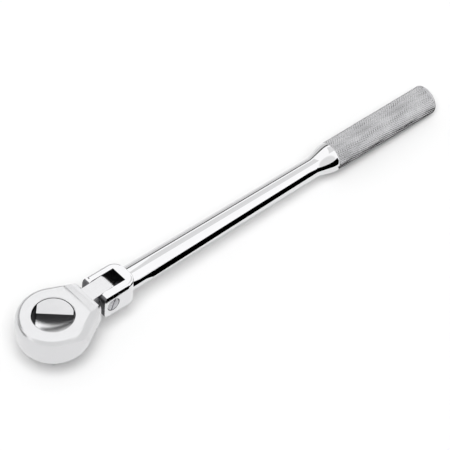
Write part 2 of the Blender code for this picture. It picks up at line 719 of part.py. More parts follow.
def make_drive_ball():
    centre = -DRIVE_SIDE / 2 + BALL_RADIUS - BALL_PROUD
    bpy.ops.mesh.primitive_uv_sphere_add(segments=16, ring_count=10, radius=BALL_RADIUS)
    ball = bpy.context.active_object
    for collection in list(ball.users_collection):
        collection.objects.unlink(ball)
    ball.name = "drive_ball"
    place(ball)
    ball.location = (0, centre, BALL_HEIGHT)
    finish_part(ball, BALL_STEEL)
    start = centre + BALL_RADIUS + RUN_GAP
    length = BALL_HOLE_DEPTH - DRIVE_SIDE / 2 - RUN_GAP - start
    radius = BALL_RADIUS - 2 * SPRING_WIRE_RADIUS
    spring = coil("drive_ball_spring", radius, SPRING_WIRE_RADIUS, length, BALL_SPRING_TURNS, (0, 1, 0))
    spring.location = (0, start, BALL_HEIGHT)
    finish_part(spring, SPRING_STEEL)


# ---- Selector -------------------------------------------------------------------------

def dish_height(radius):
    """Height of the dial's hollow face: a shallow bowl that is deepest at its centre."""
    share = radius / DIAL_RADIUS
    return HEAD_TOP - DISH_DEPTH + (DISH_DEPTH - DISH_RIM_DEPTH) * share * share


def make_selector_dial():
    """Flanged dial on a stem; its near half is hollowed, which leaves the thumb tab."""
    dial = turned("selector_dial", [
        (0.0, TAB_TOP), (DIAL_RADIUS - TAB_EDGE_CHAMFER, TAB_TOP),
        (DIAL_RADIUS, TAB_TOP - TAB_EDGE_CHAMFER), (DIAL_RADIUS, SEAL_GROOVE_HIGH),
        (SEAL_GROOVE_FLOOR, SEAL_GROOVE_HIGH), (SEAL_GROOVE_FLOOR, SEAL_GROOVE_LOW),
        (DIAL_RADIUS, SEAL_GROOVE_LOW),
        (DIAL_RADIUS, FLANGE_HIGH), (FLANGE_RADIUS, FLANGE_HIGH), (FLANGE_RADIUS, FLANGE_LOW),
        (STEM_RADIUS, FLANGE_LOW), (STEM_RADIUS, STEM_LOW), (0.0, STEM_LOW),
    ])
    reach = DIAL_RADIUS + OVERCUT
    radii = [DIAL_RADIUS * i / DISH_STEPS for i in range(DISH_STEPS, -1, -1)]
    face = [(radius, dish_height(radius)) for radius in radii]
    hollow = turned("hollow", [
        (0.0, HEAD_TOP + OVERCUT), (reach, HEAD_TOP + OVERCUT), (reach, dish_height(DIAL_RADIUS)),
    ] + face)
    tab = block("tab", (TAB_FRONT, -TAB_RIGHT_END, HEAD_TOP - DISH_DEPTH - OVERCUT),
                (reach + OVERCUT, TAB_LEFT_END, HEAD_TOP + 2 * OVERCUT))
    combine(hollow, tab, "DIFFERENCE")
    combine(dial, hollow, "DIFFERENCE")
    hole = cylinder("hole", PLUNGER_RADIUS + RUN_GAP, -STEM_RADIUS + STEM_BACK_WALL,
                    STEM_RADIUS + OVERCUT, along="X")
    combine(dial, shift(hole, (0, 0, PAWL_MID)), "DIFFERENCE")
    dial.rotation_euler = (0, 0, TAB_ANGLE)
    return finish_part(dial, CHROME)


def make_selector_seal():
    """O-ring in the dial's groove, which keeps dirt out of the works."""
    centre = (SEAL_GROOVE_FLOOR + RUN_GAP + SEAL_WIRE_RADIUS, (SEAL_GROOVE_LOW + SEAL_GROOVE_HIGH) / 2)
    section = arc(centre, SEAL_WIRE_RADIUS, pi / 2, pi / 2 - 2 * pi, 2 * pi / SEAL_STEPS)[:-1]
    seal = turned("selector_seal", section, closed=True)
    return finish_part(seal, RUBBER)


def make_selector_plunger():
    tip_steps = 5
    tip = [(PLUNGER_RADIUS * sin(a), PLUNGER_TIP_CENTRE + PLUNGER_RADIUS * cos(a))
           for a in (pi / 2 * i / tip_steps for i in range(tip_steps + 1))]
    plunger = turned("selector_plunger", tip + [(PLUNGER_RADIUS, PLUNGER_BACK), (0.0, PLUNGER_BACK)],
                      SMALL_STEPS, along="X")
    shift(plunger, (0, 0, PAWL_MID))
    plunger.rotation_euler = (0, 0, TAB_ANGLE)
    finish_part(plunger, BALL_STEEL)
    start = -STEM_RADIUS + STEM_BACK_WALL + RUN_GAP
    length = PLUNGER_BACK - RUN_GAP - start
    radius = PLUNGER_RADIUS - 2 * SPRING_WIRE_RADIUS
    spring = coil("selector_spring", radius, SPRING_WIRE_RADIUS, length, SELECTOR_SPRING_TURNS, (1, 0, 0))
    shift(spring, (start, 0, PAWL_MID))
    spring.rotation_euler = (0, 0, TAB_ANGLE)
    finish_part(spring, SPRING_STEEL)


# ---- Flex hinge and handle, in the hinge's own frame ----------------------------------

def make_hinge_axis():
    hinge = bpy.data.objects.new("flex_hinge", None)
    PARTS.objects.link(hinge)
    hinge.location = (HINGE_X, 0, MID_HEIGHT)
    hinge.rotation_euler = (0, DROOP, 0)
    return hinge


def fork_plan():
    width = FORK_HALF_WIDTH
    return rounded_loop([
        (-FORK_TIP, -width, 0), (FORK_BACK, -width, FORK_BACK_ROUND),
        (FORK_BACK, width, FORK_BACK_ROUND), (-FORK_TIP, width, 0),
    ])


def fork_side():
    half = FORK_HALF_HEIGHT
    return rounded_loop([
        (-FORK_TIP, -half, FORK_TIP_ROUND), (FORK_BACK, -half, FORK_EDGE_ROUND),
        (FORK_BACK, half, FORK_EDGE_ROUND), (-FORK_TIP, half, FORK_TIP_ROUND),
    ])


def bar_profile():
    """Bar, flare and grip as (radius, distance from the hinge), far end first."""
    flare = []
    for i in range(FLARE_STEPS + 1):
        share = 1 - i / FLARE_STEPS
        ease = share * share * (3 - 2 * share)
        radius = BAR_END_RADIUS + (GRIP_RADIUS - BAR_END_RADIUS) * ease
        flare.append((radius, BAR_END + (GRIP_START - BAR_END) * share))
    start = SLOT_ROOT + REST_GAP
    return [
        (0.0, GRIP_END),
        (GRIP_RADIUS - GRIP_CHAMFER, GRIP_END),
        (GRIP_RADIUS, GRIP_END - GRIP_CHAMFER),
    ] + flare + [
        (BAR_START_RADIUS, start),
        (0.0, start),
    ]


def make_handle(hinge):
    handle = outline_solid("handle", [fork_plan()], -FORK_HALF_HEIGHT, FORK_HALF_HEIGHT, hinge)
    bevel_edges(handle, FORK_EDGE_ROUND, FORK_EDGE_SEGMENTS,
                lambda e: is_cap_edge(e) and max(v.co.x for v in e.verts) > -FORK_TIP + WELD)
    side = outline_solid("side", [fork_side()], -FORK_HALF_WIDTH - OVERCUT, FORK_HALF_WIDTH + OVERCUT,
                         hinge, upright=True)
    combine(handle, side, "INTERSECT")
    bar = turned("bar", bar_profile(), BAR_STEPS, hinge, along="X")
    combine(handle, bar, "UNION")
    tall = FORK_HALF_HEIGHT + OVERCUT
    slot = block("slot", (-FORK_TIP - OVERCUT, -SLOT_HALF_WIDTH, -tall),
                 (SLOT_ROOT, SLOT_HALF_WIDTH, tall), hinge)
    combine(handle, slot, "DIFFERENCE")
    seat = -FORK_HALF_WIDTH + SCREW_HEAD_HEIGHT + REST_GAP
    holes = (
        (SCREW_HEAD_RADIUS + REST_GAP, -FORK_HALF_WIDTH - OVERCUT, seat),
        (SCREW_RADIUS + RUN_GAP, -FORK_HALF_WIDTH, 0.0),
        (SCREW_THREAD_RADIUS + RUN_GAP, 0.0, FORK_HALF_WIDTH + OVERCUT),
    )
    for radius, low, high in holes:
        hole = cylinder("hole", radius, low, high, parent=hinge, along="Y")
        combine(handle, hole, "DIFFERENCE")
    bore_end = TONGUE_END_RADIUS + REST_GAP + FLEX_PLUNGER_LENGTH + FLEX_SPRING_LENGTH + 2 * RUN_GAP
    bore = cylinder("bore", FLEX_PLUNGER_RADIUS + RUN_GAP, SLOT_ROOT - OVERCUT, bore_end,
                    parent=hinge, along="X")
    combine(handle, bore, "DIFFERENCE")
    return finish_part(handle, CHROME)


def make_hinge_screw(hinge):
    """Slotted shoulder screw: its head is sunk in the near arm, its thread in the far arm."""
    head_low = -FORK_HALF_WIDTH + REST_GAP / 2
    head_high = head_low + SCREW_HEAD_HEIGHT
    shoulder = TONGUE_HALF_WIDTH
    end = FORK_HALF_WIDTH - REST_GAP
    screw = turned("hinge_screw", [
        (0.0, end), (SCREW_THREAD_RADIUS - SCREW_CHAMFER, end), (SCREW_THREAD_RADIUS, end - SCREW_CHAMFER),
        (SCREW_THREAD_RADIUS, shoulder), (SCREW_RADIUS, shoulder - REST_GAP), (SCREW_RADIUS, head_high),
        (SCREW_HEAD_RADIUS, head_high), (SCREW_HEAD_RADIUS, head_low + SCREW_CHAMFER),
        (SCREW_HEAD_RADIUS - SCREW_CHAMFER, head_low), (0.0, head_low),
    ], SMALL_STEPS, hinge, along="Y")
    reach = SCREW_HEAD_RADIUS + OVERCUT
    slot = block("slot", (-SCREW_SLOT_WIDTH / 2, head_low - OVERCUT, -reach),
                 (SCREW_SLOT_WIDTH / 2, head_low + SCREW_SLOT_DEPTH, reach), hinge)
    slot.data.transform(Matrix.Rotation(SCREW_SLOT_ANGLE, 4, "Y"))
    combine(screw, slot, "DIFFERENCE")
    return finish_part(screw, DARK_STEEL)


def make_flex_plunger(hinge):
    """Spring plunger in the handle that bears on the tongue's round end."""
    front = TONGUE_END_RADIUS + REST_GAP
    back = front + FLEX_PLUNGER_LENGTH
    centre = (FLEX_PLUNGER_RADIUS - FLEX_PLUNGER_NOSE, front + FLEX_PLUNGER_NOSE)
    nose = arc(centre, FLEX_PLUNGER_NOSE, 0.0, -pi / 2, radians(30.0))
    plunger = turned("flex_plunger", [(0.0, back), (FLEX_PLUNGER_RADIUS, back)] + nose + [(0.0, front)],
                     SMALL_STEPS, hinge, along="X")
    finish_part(plunger, DARK_STEEL)
    radius = FLEX_PLUNGER_RADIUS - 1.5 * FLEX_SPRING_WIRE_RADIUS
    spring = coil("flex_spring", radius, FLEX_SPRING_WIRE_RADIUS, FLEX_SPRING_LENGTH, FLEX_SPRING_TURNS,
                  (1, 0, 0), hinge)
    shift(spring, (back + RUN_GAP, 0, 0))
    finish_part(spring, SPRING_STEEL)


# ---- Build ----------------------------------------------------------------------------

clear_scene()
PARTS = make_collection("ratchet_wrench")
CUTTERS = make_collection("cutters")
CHROME = make_material("chrome", (0.80, 0.80, 0.81), 1.0, 0.08)
PLATE_STEEL = make_material("plate_steel", (0.42, 0.42, 0.43), 1.0, 0.35)
SPRING_STEEL = make_material("spring_steel", (0.30, 0.30, 0.32), 1.0, 0.30)
DARK_STEEL = make_material("dark_steel", (0.10, 0.10, 0.11), 1.0, 0.40)
BALL_STEEL = make_material("ball_steel", (0.62, 0.62, 0.64), 1.0, 0.12)
RUBBER = make_material("rubber", (0.03, 0.03, 0.03), 0.0, 0.6)

make_head_body()
make_cover_plate()
make_thrust_washer()
make_retaining_ring()
make_drive_anvil()
make_pawl_pin()
make_pawl()
make_drive_ball()
make_selector_dial()
make_selector_seal()
make_selector_plunger()
HINGE = make_hinge_axis()
make_handle(HINGE)
make_hinge_screw(HINGE)
make_flex_plunger(HINGE)
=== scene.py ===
"""Looks of the flex-head ratchet wrench: fine meshes, procedural metals, floor, light and camera.

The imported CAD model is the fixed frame.  Every mirror-bright piece is rebuilt here at the
CAD's own size with fine facets and a real diamond knurl; the hidden works keep their CAD
meshes and get steel or rubber materials.
"""
import json
from math import asin, atan2, cos, hypot, pi, radians, sin, sqrt, tan

import bmesh
import bpy
import numpy as np
from mathutils import Matrix, Vector


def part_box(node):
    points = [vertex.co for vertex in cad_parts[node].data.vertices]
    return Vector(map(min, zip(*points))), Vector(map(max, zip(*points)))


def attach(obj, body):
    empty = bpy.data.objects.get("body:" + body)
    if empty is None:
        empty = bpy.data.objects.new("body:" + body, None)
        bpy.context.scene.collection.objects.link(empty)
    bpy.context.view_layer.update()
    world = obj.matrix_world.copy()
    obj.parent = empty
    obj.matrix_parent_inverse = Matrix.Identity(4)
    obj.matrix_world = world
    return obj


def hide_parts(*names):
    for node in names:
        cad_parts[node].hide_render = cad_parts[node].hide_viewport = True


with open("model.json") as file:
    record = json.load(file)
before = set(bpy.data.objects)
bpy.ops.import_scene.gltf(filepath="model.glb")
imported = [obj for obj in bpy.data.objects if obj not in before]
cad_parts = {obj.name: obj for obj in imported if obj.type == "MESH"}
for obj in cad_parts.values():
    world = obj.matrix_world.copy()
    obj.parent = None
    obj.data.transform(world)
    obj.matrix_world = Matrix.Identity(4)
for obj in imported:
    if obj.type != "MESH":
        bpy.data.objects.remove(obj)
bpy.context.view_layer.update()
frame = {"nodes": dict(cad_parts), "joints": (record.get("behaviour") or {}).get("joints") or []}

MM = 0.001

# ---- Sizes read from the frame --------------------------------------------------------

HEAD_LOW, HEAD_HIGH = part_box("head_body")
DIAL_LOW, DIAL_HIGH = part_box("selector_dial")
COVER_LOW_CORNER, COVER_HIGH_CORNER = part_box("cover_plate")
RING_LOW_CORNER, RING_HIGH_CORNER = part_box("retaining_ring")
ANVIL_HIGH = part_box("drive_anvil")[1]
BALL_LOW, BALL_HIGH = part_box("drive_ball")
PAWL_BOX_LOW, PAWL_BOX_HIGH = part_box("pawl")
PIN_LOW, PIN_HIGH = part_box("pawl_pin")
JOINTS = {joint["name"]: joint for joint in frame["joints"]}
HINGE = Vector(JOINTS["flex_hinge"]["pos_m"])
DROOP = radians(90.0 - JOINTS["flex_hinge"]["range_deg"][1])
SELECTOR_THROW = radians(JOINTS["selector_turn"]["range_deg"][1] / 2)

HEAD_RADIUS = HEAD_HIGH.y
HEAD_BOTTOM = HEAD_LOW.z
HEAD_TOP = HEAD_HIGH.z
MID_HEIGHT = HINGE.z
HINGE_X = HINGE.x
TONGUE_END_RADIUS = HEAD_HIGH.x - HINGE_X
FLANGE_RADIUS = DIAL_HIGH.y
TAB_TOP = DIAL_HIGH.z
STEM_LOW = DIAL_LOW.z
COVER_RADIUS = COVER_HIGH_CORNER.y
COVER_LOW = COVER_LOW_CORNER.z
COVER_HIGH = COVER_HIGH_CORNER.z
SNAP_RING_LOW = RING_LOW_CORNER.z
SNAP_RING_HIGH = RING_HIGH_CORNER.z
CORE_RADIUS = ANVIL_HIGH.x
CORE_HIGH = ANVIL_HIGH.z

# ---- Sizes of the design that no box gives --------------------------------------------

DRIVE_SIDE = 9.53 * MM
DRIVE_LENGTH = 10.4 * MM
DRIVE_END_CHAMFER = 0.8 * MM
DRIVE_EDGE_ROUND = 0.5 * MM
BOSS_RADIUS = DRIVE_SIDE / 2 * sqrt(2) + 0.06 * MM
CORE_LOW = COVER_HIGH + 0.85 * MM
HEAD_LOWER_WIDTH = 3.6 * MM
HEAD_LOWER_HEIGHT = 5.5 * MM
HEAD_UPPER_WIDTH = 2.75 * MM
HEAD_UPPER_HEIGHT = 5.0 * MM
NECK_HALF_WIDTH = 8.2 * MM
NECK_DROP = 1.3 * MM
NECK_BLEND = 6.5 * MM
NECK_SIDE_ROUND = 6.0 * MM
NECK_UNDER_ROUND = 3.0 * MM
NECK_OVERRUN = 4.0 * MM
SHOULDER_FLAT = 2.4 * MM
SHOULDER_ROUND = 1.8 * MM
SHOULDER_GAP = 0.32 * MM
RECESS_RADIUS = FLANGE_RADIUS - 0.95 * MM
RECESS_DEPTH = 4.3 * MM
RECESS_CHAMFER = 0.3 * MM
DIAL_GAP = 0.3 * MM
FLANGE_HEIGHT = 1.4 * MM
STEM_RADIUS = 3.4 * MM
PLUNGER_RADIUS = 1.2 * MM
STEM_BACK_WALL = 1.2 * MM
PAWL_SLOT_FLOOR = 1.404 * MM
PAWL_SLOT_HALF = 4.54 * MM
PAWL_SLOT_FLARE = 2.7 * MM
SEAL_GROOVE_DEPTH = 0.95 * MM
SEAL_GROOVE_HEIGHT = 1.1 * MM
DISH_RIM_DEPTH = 1.6 * MM
DISH_DEPTH = 3.2 * MM
TAB_FRONT = 0.3 * MM
TAB_EDGE = 0.2 * MM
TAB_LEFT_END = 7.2 * MM
TAB_RIGHT_END = 8.5 * MM
SNAP_RING_WIDTH = 1.5 * MM
SNAP_GROOVE_DEPTH = 0.6 * MM
SNAP_OPENING = radians(16.0)
SNAP_LUG_DEPTH = 1.2 * MM
SNAP_LUG_WIDTH = 2.8 * MM
SNAP_LUG_ROUND = 0.9 * MM
SNAP_HOLE_RADIUS = 0.6 * MM
TONGUE_HALF_WIDTH = 3.95 * MM
TONGUE_HALF_HEIGHT = 6.3 * MM
TONGUE_ROOT = 3.0 * MM
FLEX_GAP = 0.2 * MM
FORK_ARM_THICKNESS = 3.45 * MM
FORK_HALF_HEIGHT = 6.5 * MM
FORK_TIP = 4.9 * MM
FORK_TIP_ROUND = 3.0 * MM
FORK_EDGE_ROUND = 1.4 * MM
FORK_WEB = 4.8 * MM
FORK_BACK_ROUND = 5.5 * MM
SLOT_ROOT = TONGUE_END_RADIUS + 2.3 * MM
SCREW_RADIUS = 2.2 * MM
SCREW_HEAD_RADIUS = 3.2 * MM
SCREW_HEAD_HEIGHT = 1.3 * MM
SCREW_HEAD_FIT = 0.12 * MM
SCREW_THREAD_RADIUS = 2.0 * MM
SCREW_CHAMFER = 0.3 * MM
SCREW_SLOT_WIDTH = 0.8 * MM
SCREW_SLOT_DEPTH = 0.4 * MM
SCREW_SLOT_ANGLE = radians(20.0)
FLEX_BORE_RADIUS = 1.65 * MM
FLEX_BORE_END = TONGUE_END_RADIUS + 13.2 * MM
BAR_START_RADIUS = 5.5 * MM
BAR_END_RADIUS = 4.7 * MM
BAR_END = 119.0 * MM
GRIP_START = 129.8 * MM
GRIP_END = 188.0 * MM
GRIP_RADIUS = 6.9 * MM
GRIP_CHAMFER = 1.3 * MM
KNURL_PITCH = 1.15 * MM
KNURL_DEPTH = 0.32 * MM
KNURL_SAMPLES = 6
BALL_HOLE_DEPTH = 5.6 * MM
REST_GAP = 0.3 * MM
RUN_GAP = 0.15 * MM
OVERCUT = 1.0 * MM

FORK_HALF_WIDTH = TONGUE_HALF_WIDTH + FLEX_GAP + FORK_ARM_THICKNESS
FORK_BACK = SLOT_ROOT + FORK_WEB
SWING = hypot(FORK_TIP - FORK_TIP_ROUND, FORK_HALF_HEIGHT - FORK_TIP_ROUND) + FORK_TIP_ROUND
SHOULDER_X = HINGE_X - SWING - SHOULDER_GAP
COUNTERBORE_RADIUS = COVER_RADIUS + REST_GAP
COUNTERBORE_TOP = COVER_HIGH + REST_GAP
RING_TOP = CORE_HIGH + REST_GAP
RING_TIP_RADIUS = CORE_RADIUS + 0.5 * MM
RING_TOOTH_HEIGHT = 1.0 * MM
RING_TEETH = 36
TOOTH_TIP_SHARE = 0.40
TOOTH_ROOT_SHARE = 0.68
FLANGE_LOW = CORE_HIGH + RUN_GAP
FLANGE_HIGH = FLANGE_LOW + FLANGE_HEIGHT
WEB_LOW = HEAD_TOP - RECESS_DEPTH
DIAL_RADIUS = RECESS_RADIUS - DIAL_GAP
TAB_ANGLE = pi / 2 - SELECTOR_THROW

ARC_STEP = radians(1.5)
ROUND_STEPS = 240
SMALL_STEPS = 64
WELD = 0.0000005
SHARP_ANGLE = radians(28.0)
CURVE_STEP = radians(4.0)
EDGE_SOFTENING = 0.12 * MM
SOFTENED_ANGLE = radians(35.0)
COVER_EDGE = 0.15 * MM

# ---- Shape helpers --------------------------------------------------------------------


def link(obj):
    bpy.context.scene.collection.objects.link(obj)
    return obj


def evaluated_mesh(obj):
    bpy.context.view_layer.update()
    graph = bpy.context.evaluated_depsgraph_get()
    return bpy.data.meshes.new_from_object(obj.evaluated_get(graph))


def bake(obj):
    mesh = evaluated_mesh(obj)
    obj.modifiers.clear()
    obj.data = mesh
    return obj


def arc(centre, radius, start, end, step=ARC_STEP):
    count = max(2, round(abs(end - start) / step))
    angles = [start + (end - start) * i / count for i in range(count + 1)]
    return [(centre[0] + radius * cos(a), centre[1] + radius * sin(a)) for a in angles]


def rounded_loop(corners, step=ARC_STEP):
    """A closed outline from (x, y, radius) corners, each rounded by its own arc."""
    points = []
    count = len(corners)
    for i, (x, y, radius) in enumerate(corners):
        here = Vector((x, y))
        if radius <= 0:
            points.append((x, y))
            continue
        before = (Vector(corners[i - 1][:2]) - here).normalized()
        after = (Vector(corners[(i + 1) % count][:2]) - here).normalized()
        half = before.angle(after) / 2
        centre = here + (before + after).normalized() * radius / sin(half)
        reach = radius * cos(half) / sin(half)
        first = here + before * reach - centre
        last = here + after * reach - centre
        start = atan2(first.y, first.x)
        turn = (atan2(last.y, last.x) - start + pi) % (2 * pi) - pi
        points += arc(centre, radius, start, start + turn, step)
    return points


def outline_solid(name, loops, low, high, upright=False):
    """Extrude flat outlines from low to high along Z, or along Y when upright."""
    curve = bpy.data.curves.new(name, "CURVE")
    curve.dimensions = "2D"
    curve.fill_mode = "BOTH"
    curve.extrude = (high - low) / 2
    for loop in loops:
        spline = curve.splines.new("POLY")
        spline.points.add(len(loop) - 1)
        for point, (x, y) in zip(spline.points, loop):
            point.co = (x, y, 0.0, 1.0)
        spline.use_cyclic_u = True
    source = link(bpy.data.objects.new(name, curve))
    mesh = evaluated_mesh(source)
    bpy.data.objects.remove(source, do_unlink=True)
    shape = bmesh.new()
    shape.from_mesh(mesh)
    bmesh.ops.remove_doubles(shape, verts=shape.verts, dist=WELD)
    bmesh.ops.dissolve_limit(shape, angle_limit=radians(0.05), verts=shape.verts, edges=shape.edges)
    bmesh.ops.recalc_face_normals(shape, faces=shape.faces)
    shape.to_mesh(mesh)
    shape.free()
    mesh.transform(Matrix.Translation((0, 0, (low + high) / 2)))
    if upright:
        mesh.transform(Matrix.Rotation(pi / 2, 4, "X"))
    return link(bpy.data.objects.new(name, mesh))


def turned(name, profile, steps=ROUND_STEPS, along="Z", closed=False):
    """Turn a profile of (radius, height) pairs, outer side top to bottom."""
    mesh = bpy.data.meshes.new(name)
    edges = [(i, i + 1) for i in range(len(profile) - 1)]
    if closed:
        edges.append((len(profile) - 1, 0))
    mesh.from_pydata([(r, 0.0, h) for r, h in profile], edges, [])
    obj = link(bpy.data.objects.new(name, mesh))
    screw = obj.modifiers.new("Turn", "SCREW")
    screw.angle = 2 * pi
    screw.steps = steps
    screw.render_steps = steps
    screw.use_merge_vertices = True
    screw.merge_threshold = WELD
    bake(obj)
    if along == "X":
        obj.data.transform(Matrix.Rotation(pi / 2, 4, "Y"))
    if along == "Y":
        obj.data.transform(Matrix.Rotation(-pi / 2, 4, "X"))
    return obj


def cylinder(name, radius, low, high, steps=SMALL_STEPS, along="Z"):
    return turned(name, [(0.0, high), (radius, high), (radius, low), (0.0, low)], steps, along)


def block(name, low, high):
    mesh = bpy.data.meshes.new(name)
    shape = bmesh.new()
    bmesh.ops.create_cube(shape, size=1.0)
    shape.to_mesh(mesh)
    shape.free()
    low = Vector(low)
    high = Vector(high)
    mesh.transform(Matrix.Diagonal((*(high - low), 1.0)))
    mesh.transform(Matrix.Translation((low + high) / 2))
    return link(bpy.data.objects.new(name, mesh))


def combine(obj, other, operation):
    modifier = obj.modifiers.new(operation.title(), "BOOLEAN")
    modifier.operation = operation
    modifier.solver = "EXACT"
    modifier.object = other
    bake(obj)
    bpy.data.objects.remove(other, do_unlink=True)
    return obj


def bevel_edges(obj, width, segments, wanted):
    """Round the edges that the test picks."""
    shape = bmesh.new()
    shape.from_mesh(obj.data)
    layer = shape.edges.layers.float.get("bevel_weight_edge")
    if layer is None:
        layer = shape.edges.layers.float.new("bevel_weight_edge")
    for edge in shape.edges:
        edge[layer] = 1.0 if wanted(edge) else 0.0
    shape.to_mesh(obj.data)
    shape.free()
    bevel = obj.modifiers.new("Bevel", "BEVEL")
    bevel.limit_method = "WEIGHT"
    bevel.width = width
    bevel.segments = segments
    bevel.use_clamp_overlap = False
    return bake(obj)


def soften_edges(obj, width):
    """A small bevel on every sharp edge, so that it catches the light."""
    bevel = obj.modifiers.new("Soften", "BEVEL")
    bevel.limit_method = "ANGLE"
    bevel.angle_limit = SOFTENED_ANGLE
    bevel.width = width
    bevel.segments = 3
    bevel.use_clamp_overlap = True
    bevel.harden_normals = False
    return bake(obj)


def is_cap_edge(edge):
    normals = [abs(face.normal.z) for face in edge.link_faces]
    return max(normals) > 0.9 and min(normals) < 0.1


def faces_up(normal):
    return normal.z > 0.5


def is_wall(normal):
    return abs(normal.z) < 0.5


def shift(obj, offset):
    obj.data.transform(Matrix.Translation(offset))
    return obj


def to_hinge(obj):
    """Move a mesh from the hinge's own frame to its place on the drooping handle."""
    obj.data.transform(Matrix.Translation(HINGE) @ Matrix.Rotation(DROOP, 4, "Y"))
    return obj


def finish_piece(obj, body, material, nodes, smooth=SHARP_ANGLE):
    """Shade a piece, give it its metal and put it on its body in place of its CAD nodes."""
    obj.data.materials.clear()
    obj.data.materials.append(material)
    obj.data.shade_smooth()
    obj.data.set_sharp_from_angle(angle=smooth)
    weighted = obj.modifiers.new("Flat faces stay flat", "WEIGHTED_NORMAL")
    weighted.keep_sharp = True
    weighted.weight = 50
    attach(obj, body)
    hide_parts(*nodes)
    return obj


def paint(obj, material, wanted):
    """Give a second material to the faces that the test picks by centre and normal."""
    obj.data.materials.append(material)
    index = len(obj.data.materials) - 1
    for face in obj.data.polygons:
        if wanted(face.center, face.normal):
            face.material_index = index


# ---- Materials ------------------------------------------------------------------------

CLOUD_SCALE = 90.0
GRAIN_SCALE = 400.0
RUBBER_SCALE = 300.0
METAL_BUMP = 0.02 * MM
RUBBER_BUMP = 0.03 * MM

def new_material(name):
    material = bpy.data.materials.new(name)
    material.use_nodes = True
    tree = material.node_tree
    return material, tree, tree.nodes["Principled BSDF"]


def node(tree, kind, **inputs):
    """A new node with its unlinked input values."""
    made = tree.nodes.new(kind)
    for key, value in inputs.items():
        made.inputs[key.replace("_", " ")].default_value = value
    return made


def noise(tree, coordinates, scale, detail=4.0, roughness=0.55, stretch=(1.0, 1.0, 1.0)):
    """Noise in object coordinates, stretched along one axis for a grain."""
    mapping = node(tree, "ShaderNodeMapping", Scale=stretch)
    tree.links.new(coordinates.outputs["Object"], mapping.inputs["Vector"])
    made = node(tree, "ShaderNodeTexNoise", Scale=scale, Detail=detail, Roughness=roughness)
    tree.links.new(mapping.outputs["Vector"], made.inputs["Vector"])
    return made


def ramp(tree, source, low, high, low_at=0.35, high_at=0.65):
    """A ramp between two colours."""
    made = tree.nodes.new("ShaderNodeValToRGB")
    made.color_ramp.elements[0].position = low_at
    made.color_ramp.elements[1].position = high_at
    made.color_ramp.elements[0].color = (*low, 1.0)
    made.color_ramp.elements[1].color = (*high, 1.0)
    tree.links.new(source, made.inputs["Fac"])
    return made


def grey(value):
    return (value, value, value)


def metal(name, colour, roughness, grain, stretch=(1.0, 1.0, 1.0), spread=0.04, tint=0.03):
    """A plated or machined metal: cloudy tint, uneven polish and a fine grain."""
    material, tree, shader = new_material(name)
    shader.inputs["Metallic"].default_value = 1.0
    coordinates = node(tree, "ShaderNodeTexCoord")
    clouds = noise(tree, coordinates, CLOUD_SCALE, 3.0)
    dark = tuple(max(0.0, c - tint) for c in colour)
    base = ramp(tree, clouds.outputs["Fac"], dark, colour)
    tree.links.new(base.outputs["Color"], shader.inputs["Base Color"])
    fine = noise(tree, coordinates, GRAIN_SCALE, 6.0, 0.65, stretch)
    low = max(0.01, roughness - spread)
    polish = ramp(tree, fine.outputs["Fac"], grey(low), grey(roughness + spread), 0.3, 0.7)
    tree.links.new(polish.outputs["Color"], shader.inputs["Roughness"])
    bump = node(tree, "ShaderNodeBump", Strength=grain, Distance=METAL_BUMP)
    tree.links.new(fine.outputs["Fac"], bump.inputs["Height"])
    tree.links.new(bump.outputs["Normal"], shader.inputs["Normal"])
    return material


def rubber(name):
    material, tree, shader = new_material(name)
    shader.inputs["Roughness"].default_value = 0.6
    coordinates = node(tree, "ShaderNodeTexCoord")
    clouds = noise(tree, coordinates, RUBBER_SCALE)
    base = ramp(tree, clouds.outputs["Fac"], grey(0.02), grey(0.045))
    tree.links.new(base.outputs["Color"], shader.inputs["Base Color"])
    bump = node(tree, "ShaderNodeBump", Strength=0.3, Distance=RUBBER_BUMP)
    tree.links.new(clouds.outputs["Fac"], bump.inputs["Height"])
    tree.links.new(bump.outputs["Normal"], shader.inputs["Normal"])
    return material


MIRROR = metal("mirror_chrome", (0.75, 0.75, 0.76), 0.035, 0.03, spread=0.015, tint=0.012)
HEAD_CHROME = metal("head_chrome", (0.69, 0.69, 0.70), 0.24, 0.05, spread=0.03, tint=0.015)
KNURL_CHROME = metal("knurl_chrome", (0.55, 0.55, 0.56), 0.22, 0.25, spread=0.06, tint=0.06)
TAB_CHROME = metal("tab_chrome", (0.62, 0.62, 0.63), 0.16, 0.12, (1.0, 12.0, 1.0), 0.05, 0.03)
PLATE = metal("plate_steel", (0.42, 0.42, 0.43), 0.34, 0.3, (1.0, 14.0, 1.0), 0.08, 0.05)
SPRING = metal("spring_steel", (0.30, 0.30, 0.32), 0.30, 0.2, spread=0.06, tint=0.05)
DARK = metal("dark_steel", (0.10, 0.10, 0.11), 0.40, 0.3, spread=0.08, tint=0.03)
SCREW_METAL = metal("screw_steel", (0.55, 0.55, 0.57), 0.22, 0.25, (14.0, 1.0, 1.0), 0.06, 0.05)
BALL_METAL = metal("ball_steel", (0.62, 0.62, 0.64), 0.10, 0.05, spread=0.03, tint=0.03)
SEAL_RUBBER = rubber("seal_rubber")
# Painted light: a brighter copy of the dial's chrome for the dish's floor, so that the dish shows a light
# crescent.
PAINTED_LIGHT_DISH = metal("painted_light_dish", (0.84, 0.84, 0.85), 0.22, 0.12, (1.0, 12.0, 1.0), 0.03, 0.03)
# Painted shade: a dark grey for the fork tip's end faces, in the gap at the head's shoulder.
PAINTED_SHADE_GREY = metal("painted_shade_grey", (0.16, 0.16, 0.165), 0.35, 0.2, spread=0.06, tint=0.03)
# Painted shade: near-black for the recess's walls, the dial's walls, the dish beyond the tab's left end and
# the inside of the fork's slot, which lie deep in shadow.
PAINTED_SHADE_BLACK = metal("painted_shade_black", (0.045, 0.045, 0.047), 0.45, 0.3, spread=0.08, tint=0.015)


# ---- Head -----------------------------------------------------------------------------


